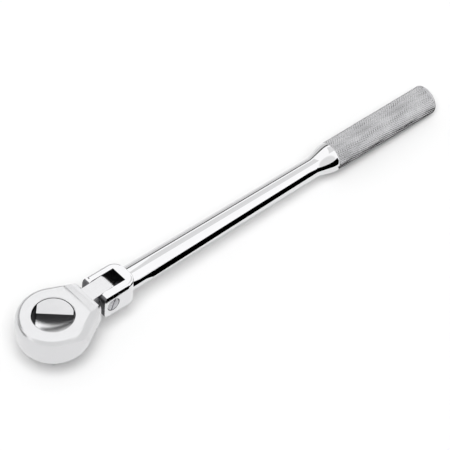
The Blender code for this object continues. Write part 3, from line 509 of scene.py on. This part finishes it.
def gear_outline():
    pitch = 2 * pi / RING_TEETH
    root = RING_TIP_RADIUS + RING_TOOTH_HEIGHT
    tip_half = pitch * TOOTH_TIP_SHARE / 2
    root_half = pitch * TOOTH_ROOT_SHARE / 2
    tip = RING_TIP_RADIUS
    corners = ((root, -root_half), (tip, -tip_half), (tip, tip_half), (root, root_half))
    points = []
    for tooth in range(RING_TEETH):
        for radius, angle in corners:
            points.append((radius * cos(tooth * pitch + angle), radius * sin(tooth * pitch + angle)))
    return points


def head_plan():
    corner = Vector((SHOULDER_X, NECK_HALF_WIDTH))
    tangent = sqrt(corner.length ** 2 - HEAD_RADIUS ** 2)
    spread = atan2(corner.y, corner.x) + asin(tangent / corner.length)
    reach = SHOULDER_X + NECK_OVERRUN
    half_width = NECK_HALF_WIDTH - NECK_OVERRUN / tan(spread)
    return arc((0, 0), HEAD_RADIUS, spread, 2 * pi - spread) + [(reach, -half_width), (reach, half_width)]


def head_side():
    low = HEAD_BOTTOM + NECK_DROP
    high = HEAD_TOP - NECK_DROP
    back = -HEAD_RADIUS - OVERCUT
    blend = SHOULDER_X - NECK_BLEND
    groove_end = COUNTERBORE_RADIUS + SNAP_GROOVE_DEPTH + REST_GAP
    return rounded_loop([
        (back, HEAD_BOTTOM, 0),
        (groove_end, HEAD_BOTTOM, NECK_UNDER_ROUND),
        (SHOULDER_X - SHOULDER_FLAT, low, NECK_UNDER_ROUND),
        (SHOULDER_X, low, SHOULDER_ROUND),
        (SHOULDER_X, high, SHOULDER_ROUND),
        (SHOULDER_X - SHOULDER_FLAT, high, NECK_SIDE_ROUND),
        (blend, HEAD_TOP, NECK_SIDE_ROUND),
        (back, HEAD_TOP, 0),
    ], CURVE_STEP)


def tongue_outline():
    half_angle = asin(TONGUE_HALF_HEIGHT / TONGUE_END_RADIUS)
    start = SHOULDER_X - TONGUE_ROOT
    end = arc((HINGE_X, MID_HEIGHT), TONGUE_END_RADIUS, -half_angle, half_angle)
    return [(start, MID_HEIGHT - TONGUE_HALF_HEIGHT)] + end + [(start, MID_HEIGHT + TONGUE_HALF_HEIGHT)]


def round_head_edge(head, width, height, upper):
    """Round the upper or lower outline with a quarter ellipse that is taller than it is wide."""
    squash = width / height
    middle = MID_HEIGHT * squash
    head.data.transform(Matrix.Diagonal((1.0, 1.0, squash, 1.0)))
    bevel_edges(head, width, 16, lambda e: is_cap_edge(e) and (e.verts[0].co.z > middle) == upper)
    head.data.transform(Matrix.Diagonal((1.0, 1.0, 1.0 / squash, 1.0)))


def make_head():
    head = outline_solid("head_shell", [head_plan()], HEAD_BOTTOM, HEAD_TOP)
    round_head_edge(head, HEAD_LOWER_WIDTH, HEAD_LOWER_HEIGHT, False)
    round_head_edge(head, HEAD_UPPER_WIDTH, HEAD_UPPER_HEIGHT, True)
    side = outline_solid("side", [head_side()], -HEAD_RADIUS - OVERCUT, HEAD_RADIUS + OVERCUT, upright=True)
    combine(head, side, "INTERSECT")
    tongue = outline_solid("tongue", [tongue_outline()], -TONGUE_HALF_WIDTH, TONGUE_HALF_WIDTH, upright=True)
    combine(head, tongue, "UNION")
    groove = COUNTERBORE_RADIUS + SNAP_GROOVE_DEPTH
    combine(head, turned("cover_cut", [
        (0.0, COUNTERBORE_TOP), (COUNTERBORE_RADIUS, COUNTERBORE_TOP),
        (COUNTERBORE_RADIUS, SNAP_RING_HIGH + RUN_GAP), (groove, SNAP_RING_HIGH + RUN_GAP),
        (groove, SNAP_RING_LOW - RUN_GAP), (COUNTERBORE_RADIUS, SNAP_RING_LOW - RUN_GAP),
        (COUNTERBORE_RADIUS, HEAD_BOTTOM - OVERCUT), (0.0, HEAD_BOTTOM - OVERCUT),
    ]), "DIFFERENCE")
    teeth = outline_solid("gear_cut", [gear_outline()], COUNTERBORE_TOP - REST_GAP, RING_TOP)
    combine(head, teeth, "DIFFERENCE")
    pocket = FLANGE_RADIUS + REST_GAP
    combine(head, turned("recess_cut", [
        (0.0, HEAD_TOP + OVERCUT), (RECESS_RADIUS + RECESS_CHAMFER + OVERCUT, HEAD_TOP + OVERCUT),
        (RECESS_RADIUS, HEAD_TOP - RECESS_CHAMFER), (RECESS_RADIUS, WEB_LOW), (pocket, WEB_LOW),
        (pocket, RING_TOP - REST_GAP), (0.0, RING_TOP - REST_GAP),
    ]), "DIFFERENCE")
    bore = cylinder("bore", SCREW_RADIUS + RUN_GAP, -FORK_HALF_WIDTH, FORK_HALF_WIDTH, along="Y")
    combine(head, shift(bore, (HINGE_X, 0, MID_HEIGHT)), "DIFFERENCE")
    finish_piece(head, "head", HEAD_CHROME, ["head_body"])
    rim = RECESS_RADIUS + WELD
    # Painted shade on the walls of the dial's recess.
    paint(head, PAINTED_SHADE_BLACK, lambda c, n: is_wall(n) and c.z > WEB_LOW and hypot(c.x, c.y) < rim)


def make_cover():
    inner = BOSS_RADIUS + REST_GAP
    edge = COVER_EDGE
    cover = turned("bottom_cover", [
        (inner + edge, COVER_HIGH), (COVER_RADIUS, COVER_HIGH), (COVER_RADIUS, COVER_LOW + edge),
        (COVER_RADIUS - edge, COVER_LOW), (inner + edge, COVER_LOW), (inner, COVER_LOW + edge),
        (inner, COVER_HIGH - edge),
    ], closed=True)
    return finish_piece(cover, "head", PLATE, ["cover_plate"])


def make_snap_ring():
    outer = COUNTERBORE_RADIUS + SNAP_GROOVE_DEPTH - RUN_GAP
    inner = outer - SNAP_RING_WIDTH
    lug_inner = inner - SNAP_LUG_DEPTH
    span = SNAP_LUG_WIDTH / inner
    start = pi / 2 + SNAP_OPENING
    end = pi / 2 - SNAP_OPENING + 2 * pi
    corners = [(x, y, 0) for x, y in arc((0, 0), outer, start, end)]
    for angle in (end, end - span):
        corners.append((lug_inner * cos(angle), lug_inner * sin(angle), SNAP_LUG_ROUND))
    corners += [(x, y, 0) for x, y in arc((0, 0), inner, end - span, start + span)]
    for angle in (start + span, start):
        corners.append((lug_inner * cos(angle), lug_inner * sin(angle), SNAP_LUG_ROUND))
    loops = [rounded_loop(corners, radians(10.0))]
    middle = (outer + lug_inner) / 2
    for angle in (start + span / 2, end - span / 2):
        centre = (middle * cos(angle), middle * sin(angle))
        loops.append(arc(centre, SNAP_HOLE_RADIUS, 0, 2 * pi, radians(15.0))[:-1])
    ring = outline_solid("snap_ring", loops, SNAP_RING_LOW, SNAP_RING_HIGH)
    bevel_edges(ring, EDGE_SOFTENING, 2, is_cap_edge)
    return finish_piece(ring, "head", SPRING, ["retaining_ring"])


# ---- Drive and selector ---------------------------------------------------------------


def make_anvil():
    """The square drive, its boss and the round core with the stem's hole and the pawl's slot."""
    half = DRIVE_SIDE / 2
    anvil = block("square_drive", (-half, -half, 0), (half, half, DRIVE_LENGTH + OVERCUT))
    bevel_edges(anvil, DRIVE_END_CHAMFER, 1, lambda e: all(v.co.z < WELD for v in e.verts))
    bevel_edges(anvil, DRIVE_EDGE_ROUND, 6,
                lambda e: abs(e.verts[0].co.z - e.verts[1].co.z) > DRIVE_LENGTH / 2)
    combine(anvil, turned("core", [
        (0.0, CORE_HIGH), (CORE_RADIUS, CORE_HIGH), (CORE_RADIUS, CORE_LOW),
        (BOSS_RADIUS, CORE_LOW), (BOSS_RADIUS, DRIVE_LENGTH), (0.0, DRIVE_LENGTH),
    ]), "UNION")
    stem_hole = cylinder("stem_hole", STEM_RADIUS + RUN_GAP, STEM_LOW - REST_GAP, CORE_HIGH + OVERCUT)
    combine(anvil, stem_hole, "DIFFERENCE")
    edge = CORE_RADIUS + OVERCUT
    rise = PAWL_SLOT_FLOOR + PAWL_SLOT_FLARE
    slot = outline_solid("slot", [[
        (-PAWL_SLOT_HALF, PAWL_SLOT_FLOOR), (PAWL_SLOT_HALF, PAWL_SLOT_FLOOR), (edge, rise), (edge, edge),
        (-edge, edge), (-edge, rise),
    ]], PAWL_BOX_LOW.z - REST_GAP, PAWL_BOX_HIGH.z + REST_GAP)
    combine(anvil, slot, "DIFFERENCE")
    pin_radius = (PIN_HIGH.x - PIN_LOW.x) / 2
    pin_hole = cylinder("pin_hole", pin_radius + RUN_GAP, CORE_LOW + REST_GAP, CORE_HIGH + OVERCUT)
    combine(anvil, shift(pin_hole, (0, (PIN_LOW.y + PIN_HIGH.y) / 2, 0)), "DIFFERENCE")
    ball_radius = (BALL_HIGH.y - BALL_LOW.y) / 2
    hole = cylinder("ball_hole", ball_radius + RUN_GAP, -half - OVERCUT, BALL_HOLE_DEPTH - half, along="Y")
    combine(anvil, shift(hole, (0, 0, (BALL_LOW.z + BALL_HIGH.z) / 2)), "DIFFERENCE")
    return anvil


def make_ball():
    mesh = bpy.data.meshes.new("detent_ball")
    shape = bmesh.new()
    bmesh.ops.create_uvsphere(shape, u_segments=48, v_segments=32, radius=(BALL_HIGH.z - BALL_LOW.z) / 2)
    bmesh.ops.translate(shape, verts=shape.verts, vec=(BALL_LOW + BALL_HIGH) / 2)
    shape.to_mesh(mesh)
    shape.free()
    ball = link(bpy.data.objects.new("detent_ball", mesh))
    return finish_piece(ball, "ball", BALL_METAL, ["drive_ball"])


def dish_height(radius):
    share = radius / DIAL_RADIUS
    return HEAD_TOP - DISH_DEPTH + (DISH_DEPTH - DISH_RIM_DEPTH) * share * share


def make_dial():
    groove_floor = DIAL_RADIUS - SEAL_GROOVE_DEPTH
    groove_low = WEB_LOW + REST_GAP
    groove_high = groove_low + SEAL_GROOVE_HEIGHT
    dial = turned("selector", [
        (0.0, TAB_TOP), (DIAL_RADIUS - TAB_EDGE, TAB_TOP), (DIAL_RADIUS, TAB_TOP - TAB_EDGE),
        (DIAL_RADIUS, groove_high), (groove_floor, groove_high), (groove_floor, groove_low),
        (DIAL_RADIUS, groove_low), (DIAL_RADIUS, FLANGE_HIGH), (FLANGE_RADIUS, FLANGE_HIGH),
        (FLANGE_RADIUS, FLANGE_LOW), (STEM_RADIUS, FLANGE_LOW), (STEM_RADIUS, STEM_LOW), (0.0, STEM_LOW),
    ])
    reach = DIAL_RADIUS + OVERCUT
    steps = 24
    face = [(DIAL_RADIUS * i / steps, dish_height(DIAL_RADIUS * i / steps)) for i in range(steps, -1, -1)]
    hollow = turned("hollow", [
        (0.0, HEAD_TOP + OVERCUT), (reach, HEAD_TOP + OVERCUT), (reach, dish_height(DIAL_RADIUS)),
    ] + face)
    tab = block("tab", (TAB_FRONT, -TAB_RIGHT_END, HEAD_TOP - DISH_DEPTH - OVERCUT),
                (reach + OVERCUT, TAB_LEFT_END, HEAD_TOP + 2 * OVERCUT))
    combine(hollow, tab, "DIFFERENCE")
    combine(dial, hollow, "DIFFERENCE")
    hole_end = -STEM_RADIUS + STEM_BACK_WALL
    hole = cylinder("hole", PLUNGER_RADIUS + RUN_GAP, hole_end, STEM_RADIUS + OVERCUT, along="X")
    combine(dial, shift(hole, (0, 0, (PAWL_BOX_LOW.z + PAWL_BOX_HIGH.z) / 2)), "DIFFERENCE")
    soften_edges(dial, EDGE_SOFTENING)
    dial.data.transform(Matrix.Rotation(TAB_ANGLE, 4, "Z"))
    finish_piece(dial, "selector", TAB_CHROME, ["selector_dial"])
    floor_high = HEAD_TOP - DISH_RIM_DEPTH + WELD
    # Painted light on the dish's floor.
    paint(dial, PAINTED_LIGHT_DISH, lambda c, n: faces_up(n) and FLANGE_HIGH + WELD < c.z < floor_high)
    # Painted shade on the dial's walls above the flange, the tab's front among them.
    paint(dial, PAINTED_SHADE_BLACK, lambda c, n: is_wall(n) and c.z > FLANGE_HIGH)
    # Painted shade on the dish's floor beyond the tab's left end.
    left = Vector((cos(TAB_ANGLE + pi / 2), sin(TAB_ANGLE + pi / 2), 0.0))
    paint(dial, PAINTED_SHADE_BLACK, lambda c, n: FLANGE_HIGH + WELD < c.z < floor_high and c.dot(left) > TAB_LEFT_END)


# ---- Handle ---------------------------------------------------------------------------


def fork_plan():
    width = FORK_HALF_WIDTH
    return rounded_loop([
        (-FORK_TIP, -width, 0), (FORK_BACK, -width, FORK_BACK_ROUND),
        (FORK_BACK, width, FORK_BACK_ROUND), (-FORK_TIP, width, 0),
    ], radians(3.0))


def fork_side():
    half = FORK_HALF_HEIGHT
    return rounded_loop([
        (-FORK_TIP, -half, FORK_TIP_ROUND), (FORK_BACK, -half, FORK_EDGE_ROUND),
        (FORK_BACK, half, FORK_EDGE_ROUND), (-FORK_TIP, half, FORK_TIP_ROUND),
    ], CURVE_STEP)


def flare(steps=40):
    """The bar's swelling up to the grip, far end first."""
    points = []
    for i in range(steps + 1):
        share = 1 - i / steps
        ease = share * share * (3 - 2 * share)
        radius = BAR_END_RADIUS + (GRIP_RADIUS - BAR_END_RADIUS) * ease
        points.append((radius, BAR_END + (GRIP_START - BAR_END) * share))
    return points


def make_handle():
    handle = outline_solid("handle_bar", [fork_plan()], -FORK_HALF_HEIGHT, FORK_HALF_HEIGHT)
    bevel_edges(handle, FORK_EDGE_ROUND, 10,
                lambda e: is_cap_edge(e) and max(v.co.x for v in e.verts) > -FORK_TIP + WELD)
    reach = FORK_HALF_WIDTH + OVERCUT
    side = outline_solid("side", [fork_side()], -reach, reach, upright=True)
    combine(handle, side, "INTERSECT")
    start = SLOT_ROOT + REST_GAP
    bar = turned("bar", [(0.0, GRIP_START)] + flare() + [(BAR_START_RADIUS, start), (0.0, start)], 192, "X")
    combine(handle, bar, "UNION")
    tall = FORK_HALF_HEIGHT + OVERCUT
    slot_half = TONGUE_HALF_WIDTH + FLEX_GAP
    slot = block("slot", (-FORK_TIP - OVERCUT, -slot_half, -tall), (SLOT_ROOT, slot_half, tall))
    combine(handle, slot, "DIFFERENCE")
    seat = -FORK_HALF_WIDTH + SCREW_HEAD_HEIGHT + REST_GAP
    holes = (
        (SCREW_HEAD_RADIUS + SCREW_HEAD_FIT, -reach, seat),
        (SCREW_RADIUS + RUN_GAP, -FORK_HALF_WIDTH, 0.0),
        (SCREW_THREAD_RADIUS + RUN_GAP, 0.0, reach),
    )
    for radius, low, high in holes:
        combine(handle, cylinder("hole", radius, low, high, along="Y"), "DIFFERENCE")
    bore = cylinder("bore", FLEX_BORE_RADIUS, SLOT_ROOT - OVERCUT, FLEX_BORE_END, along="X")
    combine(handle, bore, "DIFFERENCE")
    finish_piece(handle, "handle", MIRROR, ["handle"])
    # Painted shade inside the fork's slot.
    inside = slot_half + WELD
    paint(handle, PAINTED_SHADE_BLACK, lambda c, n: abs(c.y) < inside and c.x < SLOT_ROOT + WELD)
    # Painted shade on the fork tip's end faces, which sit in the gap at the shoulder.
    paint(handle, PAINTED_SHADE_GREY, lambda c, n: n.x < -0.6 and c.x < FORK_TIP_ROUND - FORK_TIP)
    to_hinge(handle)


def ridge(wave):
    """A triangle wave from 0 to 1 with a period of one."""
    return 1.0 - np.abs(2.0 * (wave - np.floor(wave)) - 1.0)


def make_grip():
    """The grip as a tube of two crossing helical ridges, closed by a chamfered end."""
    starts = round(2 * pi * GRIP_RADIUS / KNURL_PITCH)
    around = starts * KNURL_SAMPLES
    length = GRIP_END - GRIP_CHAMFER - GRIP_START
    rows = round(length / KNURL_PITCH) * KNURL_SAMPLES
    angle = np.linspace(0.0, 2 * pi, around, endpoint=False)
    along = np.linspace(0.0, length, rows + 1)
    turns, run = np.meshgrid(angle / (2 * pi) * starts, along / KNURL_PITCH)
    height = np.minimum(ridge(turns + run), ridge(turns - run))
    fade = np.clip(np.minimum(run, length / KNURL_PITCH - run) / 0.6, 0.0, 1.0)
    radius = GRIP_RADIUS - KNURL_DEPTH * fade * (1.0 - height)
    rings = [(radius[i], GRIP_START + along[i]) for i in range(rows + 1)]
    rings.insert(0, (np.full(around, GRIP_RADIUS - 2 * KNURL_DEPTH), GRIP_START))
    plain = np.ones(around)
    steps = 6
    for i in range(1, steps + 1):
        turn = pi / 2 * i / steps
        rings.append((plain * (GRIP_RADIUS - GRIP_CHAMFER * (1 - cos(turn))),
                      GRIP_END - GRIP_CHAMFER + GRIP_CHAMFER * sin(turn)))
    for share in (0.9, 0.5, 0.1):
        rings.append((plain * (GRIP_RADIUS - GRIP_CHAMFER) * share, GRIP_END))
    points = []
    for radii, x in rings:
        points += [(x, r * cos(a), r * sin(a)) for r, a in zip(radii, angle)]
    points += [(GRIP_START, 0.0, 0.0), (GRIP_END, 0.0, 0.0)]
    faces = []
    for row in range(len(rings) - 1):
        for i in range(around):
            j = (i + 1) % around
            faces.append((row * around + i, row * around + j, (row + 1) * around + j, (row + 1) * around + i))
    last = (len(rings) - 1) * around
    front, back = len(points) - 2, len(points) - 1
    for i in range(around):
        j = (i + 1) % around
        faces.append((front, j, i))
        faces.append((back, last + i, last + j))
    mesh = bpy.data.meshes.new("knurled_grip")
    mesh.from_pydata(points, [], faces)
    grip = link(bpy.data.objects.new("knurled_grip", mesh))
    to_hinge(grip)
    finish_piece(grip, "handle", KNURL_CHROME, ["handle"], radians(25.0))
    return grip


def make_screw():
    head_low = -FORK_HALF_WIDTH + REST_GAP / 2
    head_high = head_low + SCREW_HEAD_HEIGHT
    end = FORK_HALF_WIDTH - REST_GAP
    screw = turned("pivot_screw", [
        (0.0, end), (SCREW_THREAD_RADIUS - SCREW_CHAMFER, end), (SCREW_THREAD_RADIUS, end - SCREW_CHAMFER),
        (SCREW_THREAD_RADIUS, TONGUE_HALF_WIDTH), (SCREW_RADIUS, TONGUE_HALF_WIDTH - REST_GAP),
        (SCREW_RADIUS, head_high), (SCREW_HEAD_RADIUS, head_high),
        (SCREW_HEAD_RADIUS, head_low + SCREW_CHAMFER), (SCREW_HEAD_RADIUS - SCREW_CHAMFER, head_low),
        (0.0, head_low),
    ], 96, "Y")
    reach = SCREW_HEAD_RADIUS + OVERCUT
    slot = block("slot", (-SCREW_SLOT_WIDTH / 2, head_low - OVERCUT, -reach),
                 (SCREW_SLOT_WIDTH / 2, head_low + SCREW_SLOT_DEPTH, reach))
    slot.data.transform(Matrix.Rotation(SCREW_SLOT_ANGLE, 4, "Y"))
    combine(screw, slot, "DIFFERENCE")
    to_hinge(screw)
    return finish_piece(screw, "handle", SCREW_METAL, ["hinge_screw"])


# ---- Studio ---------------------------------------------------------------------------

VIEW_AZIMUTH = radians(40.831)
VIEW_ELEVATION = radians(49.887)
VIEW_DISTANCE = 1.8
VIEW_TARGET = Vector((91.244 * MM, -5.106 * MM, MID_HEIGHT))
LENS = 334.16
SENSOR = 36.0
TOWARDS_CAMERA = Vector((-sin(VIEW_AZIMUTH) * cos(VIEW_ELEVATION), -cos(VIEW_AZIMUTH) * cos(VIEW_ELEVATION),
                         sin(VIEW_ELEVATION)))

SKY = 1.28
FRONT_SKY = 0.95
FRONT_ELEVATION = radians(20.0)
FRONT_INNER = radians(48.0)
FRONT_OUTER = radians(60.0)
SKY_FOR_FLOOR = 0.52
SUN_STRENGTH = 2.75
SUN_ELEVATION = radians(61.0)
SUN_WIDTH = radians(36.0)

FLOOR_HALF = 3.0
FLOOR_DROP = 0.1 * MM
CARD_LIFT = 0.2 * MM
SIDE_CARD_Y = -100.0 * MM
HEAD_SCREEN_X = SHOULDER_X + 1.0 * MM
TOP_CARD_HEIGHT = 0.32
FAR_CARD_Y = 0.6
FAR_CARD_TOP = 0.52
FAR_CARD_SPLIT = 0.33
LEFT_CARD_X = -0.25
BLACK_CARD = 0.0


def make_camera():
    data = bpy.data.cameras.new("camera")
    data.sensor_width = SENSOR
    data.lens = LENS
    data.clip_start = 0.05
    data.clip_end = 20.0
    camera = link(bpy.data.objects.new("camera", data))
    right = Vector((cos(VIEW_AZIMUTH), -sin(VIEW_AZIMUTH), 0.0))
    up = TOWARDS_CAMERA.cross(right)
    turn = Matrix((right, up, TOWARDS_CAMERA)).transposed().to_4x4()
    camera.matrix_world = Matrix.Translation(VIEW_TARGET + TOWARDS_CAMERA * VIEW_DISTANCE) @ turn
    bpy.context.scene.camera = camera


def from_front(elevation):
    """A direction on the camera's side at some height over the floor."""
    return Vector((-sin(VIEW_AZIMUTH) * cos(elevation), -cos(VIEW_AZIMUTH) * cos(elevation), sin(elevation)))


def make_world():
    """A bright studio: reflections see white all round but for a pale grey front side, and
    everything else is lit by a dimmer, even sky."""
    world = bpy.data.worlds.new("studio")
    bpy.context.scene.world = world
    world.use_nodes = True
    tree = world.node_tree
    background = tree.nodes["Background"]
    background.inputs["Color"].default_value = (1.0, 1.0, 1.0, 1.0)
    coordinates = tree.nodes.new("ShaderNodeTexCoord")
    facing = tree.nodes.new("ShaderNodeVectorMath")
    facing.operation = "DOT_PRODUCT"
    facing.inputs[1].default_value = from_front(FRONT_ELEVATION)
    tree.links.new(coordinates.outputs["Generated"], facing.inputs[0])
    shade = tree.nodes.new("ShaderNodeMapRange")
    shade.interpolation_type = "SMOOTHSTEP"
    shade.inputs["From Min"].default_value = cos(FRONT_OUTER)
    shade.inputs["From Max"].default_value = cos(FRONT_INNER)
    shade.inputs["To Min"].default_value = SKY
    shade.inputs["To Max"].default_value = FRONT_SKY
    tree.links.new(facing.outputs["Value"], shade.inputs["Value"])
    path = tree.nodes.new("ShaderNodeLightPath")
    strength = tree.nodes.new("ShaderNodeMapRange")
    strength.inputs["To Min"].default_value = SKY_FOR_FLOOR
    tree.links.new(shade.outputs["Result"], strength.inputs["To Max"])
    tree.links.new(path.outputs["Is Glossy Ray"], strength.inputs["Value"])
    tree.links.new(strength.outputs["Result"], background.inputs["Strength"])


def make_floor():
    mesh = bpy.data.meshes.new("floor")
    half = FLOOR_HALF
    corners = [(-half, -half, 0), (half, -half, 0), (half, half, 0), (-half, half, 0)]
    mesh.from_pydata(corners, [], [(0, 1, 2, 3)])
    floor = link(bpy.data.objects.new("floor", mesh))
    floor.location = (0.0, 0.0, -FLOOR_DROP)
    material, tree, shader = new_material("floor_paper")
    shader.inputs["Base Color"].default_value = (0.80, 0.80, 0.80, 1.0)
    shader.inputs["Roughness"].default_value = 1.0
    shader.inputs["Specular IOR Level"].default_value = 0.0
    mesh.materials.append(material)


def make_card(name, corners, brightness):
    """A studio card that only reflections see."""
    mesh = bpy.data.meshes.new(name)
    mesh.from_pydata(corners, [], [tuple(range(len(corners)))])
    card = link(bpy.data.objects.new(name, mesh))
    material = bpy.data.materials.new(name)
    material.use_nodes = True
    tree = material.node_tree
    tree.nodes.clear()
    output = tree.nodes.new("ShaderNodeOutputMaterial")
    glow = tree.nodes.new("ShaderNodeEmission")
    glow.inputs["Color"].default_value = (1.0, 1.0, 1.0, 1.0)
    glow.inputs["Strength"].default_value = brightness
    tree.links.new(glow.outputs["Emission"], output.inputs["Surface"])
    mesh.materials.append(material)
    card.visible_camera = False
    card.visible_diffuse = False
    card.visible_shadow = False
    card.visible_transmission = False
    card.visible_volume_scatter = False


def make_flat_card(name, outline, height, brightness):
    make_card(name, [(x, y, height) for x, y in outline], brightness)


def make_upright_card(name, start, end, low, high, brightness):
    make_card(name, [(*start, low), (*end, low), (*end, high), (*start, high)], brightness)


def make_cards():
    """Cards that shape the chrome's reflections: black ones low beside the handle for its dark
    stripe and the fork's dark edge, a pale screen that hides them from the head, and greys
    above, behind and to the left."""
    side = SIDE_CARD_Y
    make_flat_card("side_floor_card", [
        (0.058, -0.0085), (0.165, -0.0270), (0.205, side), (0.055, side), (0.034, -0.0222), (0.058, -0.0222),
    ], CARD_LIFT, BLACK_CARD)
    make_card("side_wall_card", [
        (0.064, side, 0.0), (0.205, side, 0.0), (0.205, side, 0.052), (0.092, side, 0.004),
        (0.086, side, 0.055), (0.064, side, 0.050),
    ], BLACK_CARD)
    make_upright_card("head_screen", (HEAD_SCREEN_X, -0.5), (HEAD_SCREEN_X, -0.0095), 0.0, 0.04, 0.95)
    make_flat_card("top_card", [
        (0.19, -0.07), (0.27, 0.21), (0.90, 0.21), (0.90, -0.07),
    ], TOP_CARD_HEIGHT, 0.93)
    far_left = (-0.5, FAR_CARD_Y)
    far_right = (0.8, FAR_CARD_Y)
    make_upright_card("far_low_card", far_left, far_right, 0.0, FAR_CARD_SPLIT, 0.78)
    make_upright_card("far_card", far_left, far_right, FAR_CARD_SPLIT, FAR_CARD_TOP, 0.05)
    make_upright_card("left_card", (LEFT_CARD_X, 0.10), (LEFT_CARD_X, 0.50), 0.0, 0.11, 0.30)
    # A near-black card under the grip: painted shadow of the floor, seen only in the grip's reflection along
    # its lower edge.
    make_flat_card("grip_painted_shadow_card", [
        (0.160, -0.0145), (0.240, -0.0145), (0.240, 0.005), (0.160, 0.005),
    ], CARD_LIFT, 0.05)


def make_sun():
    data = bpy.data.lights.new("sun", "SUN")
    data.energy = SUN_STRENGTH
    data.angle = SUN_WIDTH
    sun = link(bpy.data.objects.new("sun", data))
    sun.rotation_mode = "QUATERNION"
    sun.rotation_quaternion = from_front(SUN_ELEVATION).to_track_quat("Z", "Y")
    sun.visible_glossy = False


# ---- Build ----------------------------------------------------------------------------

make_head()
make_cover()
make_snap_ring()
finish_piece(make_anvil(), "drive", HEAD_CHROME, ["drive_anvil"])
make_ball()
make_dial()
make_handle()
make_grip()
make_screw()

CAD_METALS = {
    "thrust_washer": SPRING,
    "drive_ball_spring": SPRING,
    "selector_spring": SPRING,
    "flex_spring": SPRING,
    "pawl": DARK,
    "pawl_pin": DARK,
    "flex_plunger": DARK,
    "selector_plunger": BALL_METAL,
    "selector_seal": SEAL_RUBBER,
}
for name, material in CAD_METALS.items():
    mesh = frame["nodes"][name].data
    mesh.materials.clear()
    mesh.materials.append(material)

make_camera()
make_world()
make_floor()
make_cards()
make_sun()
bpy.context.scene.view_settings.view_transform = "Standard"
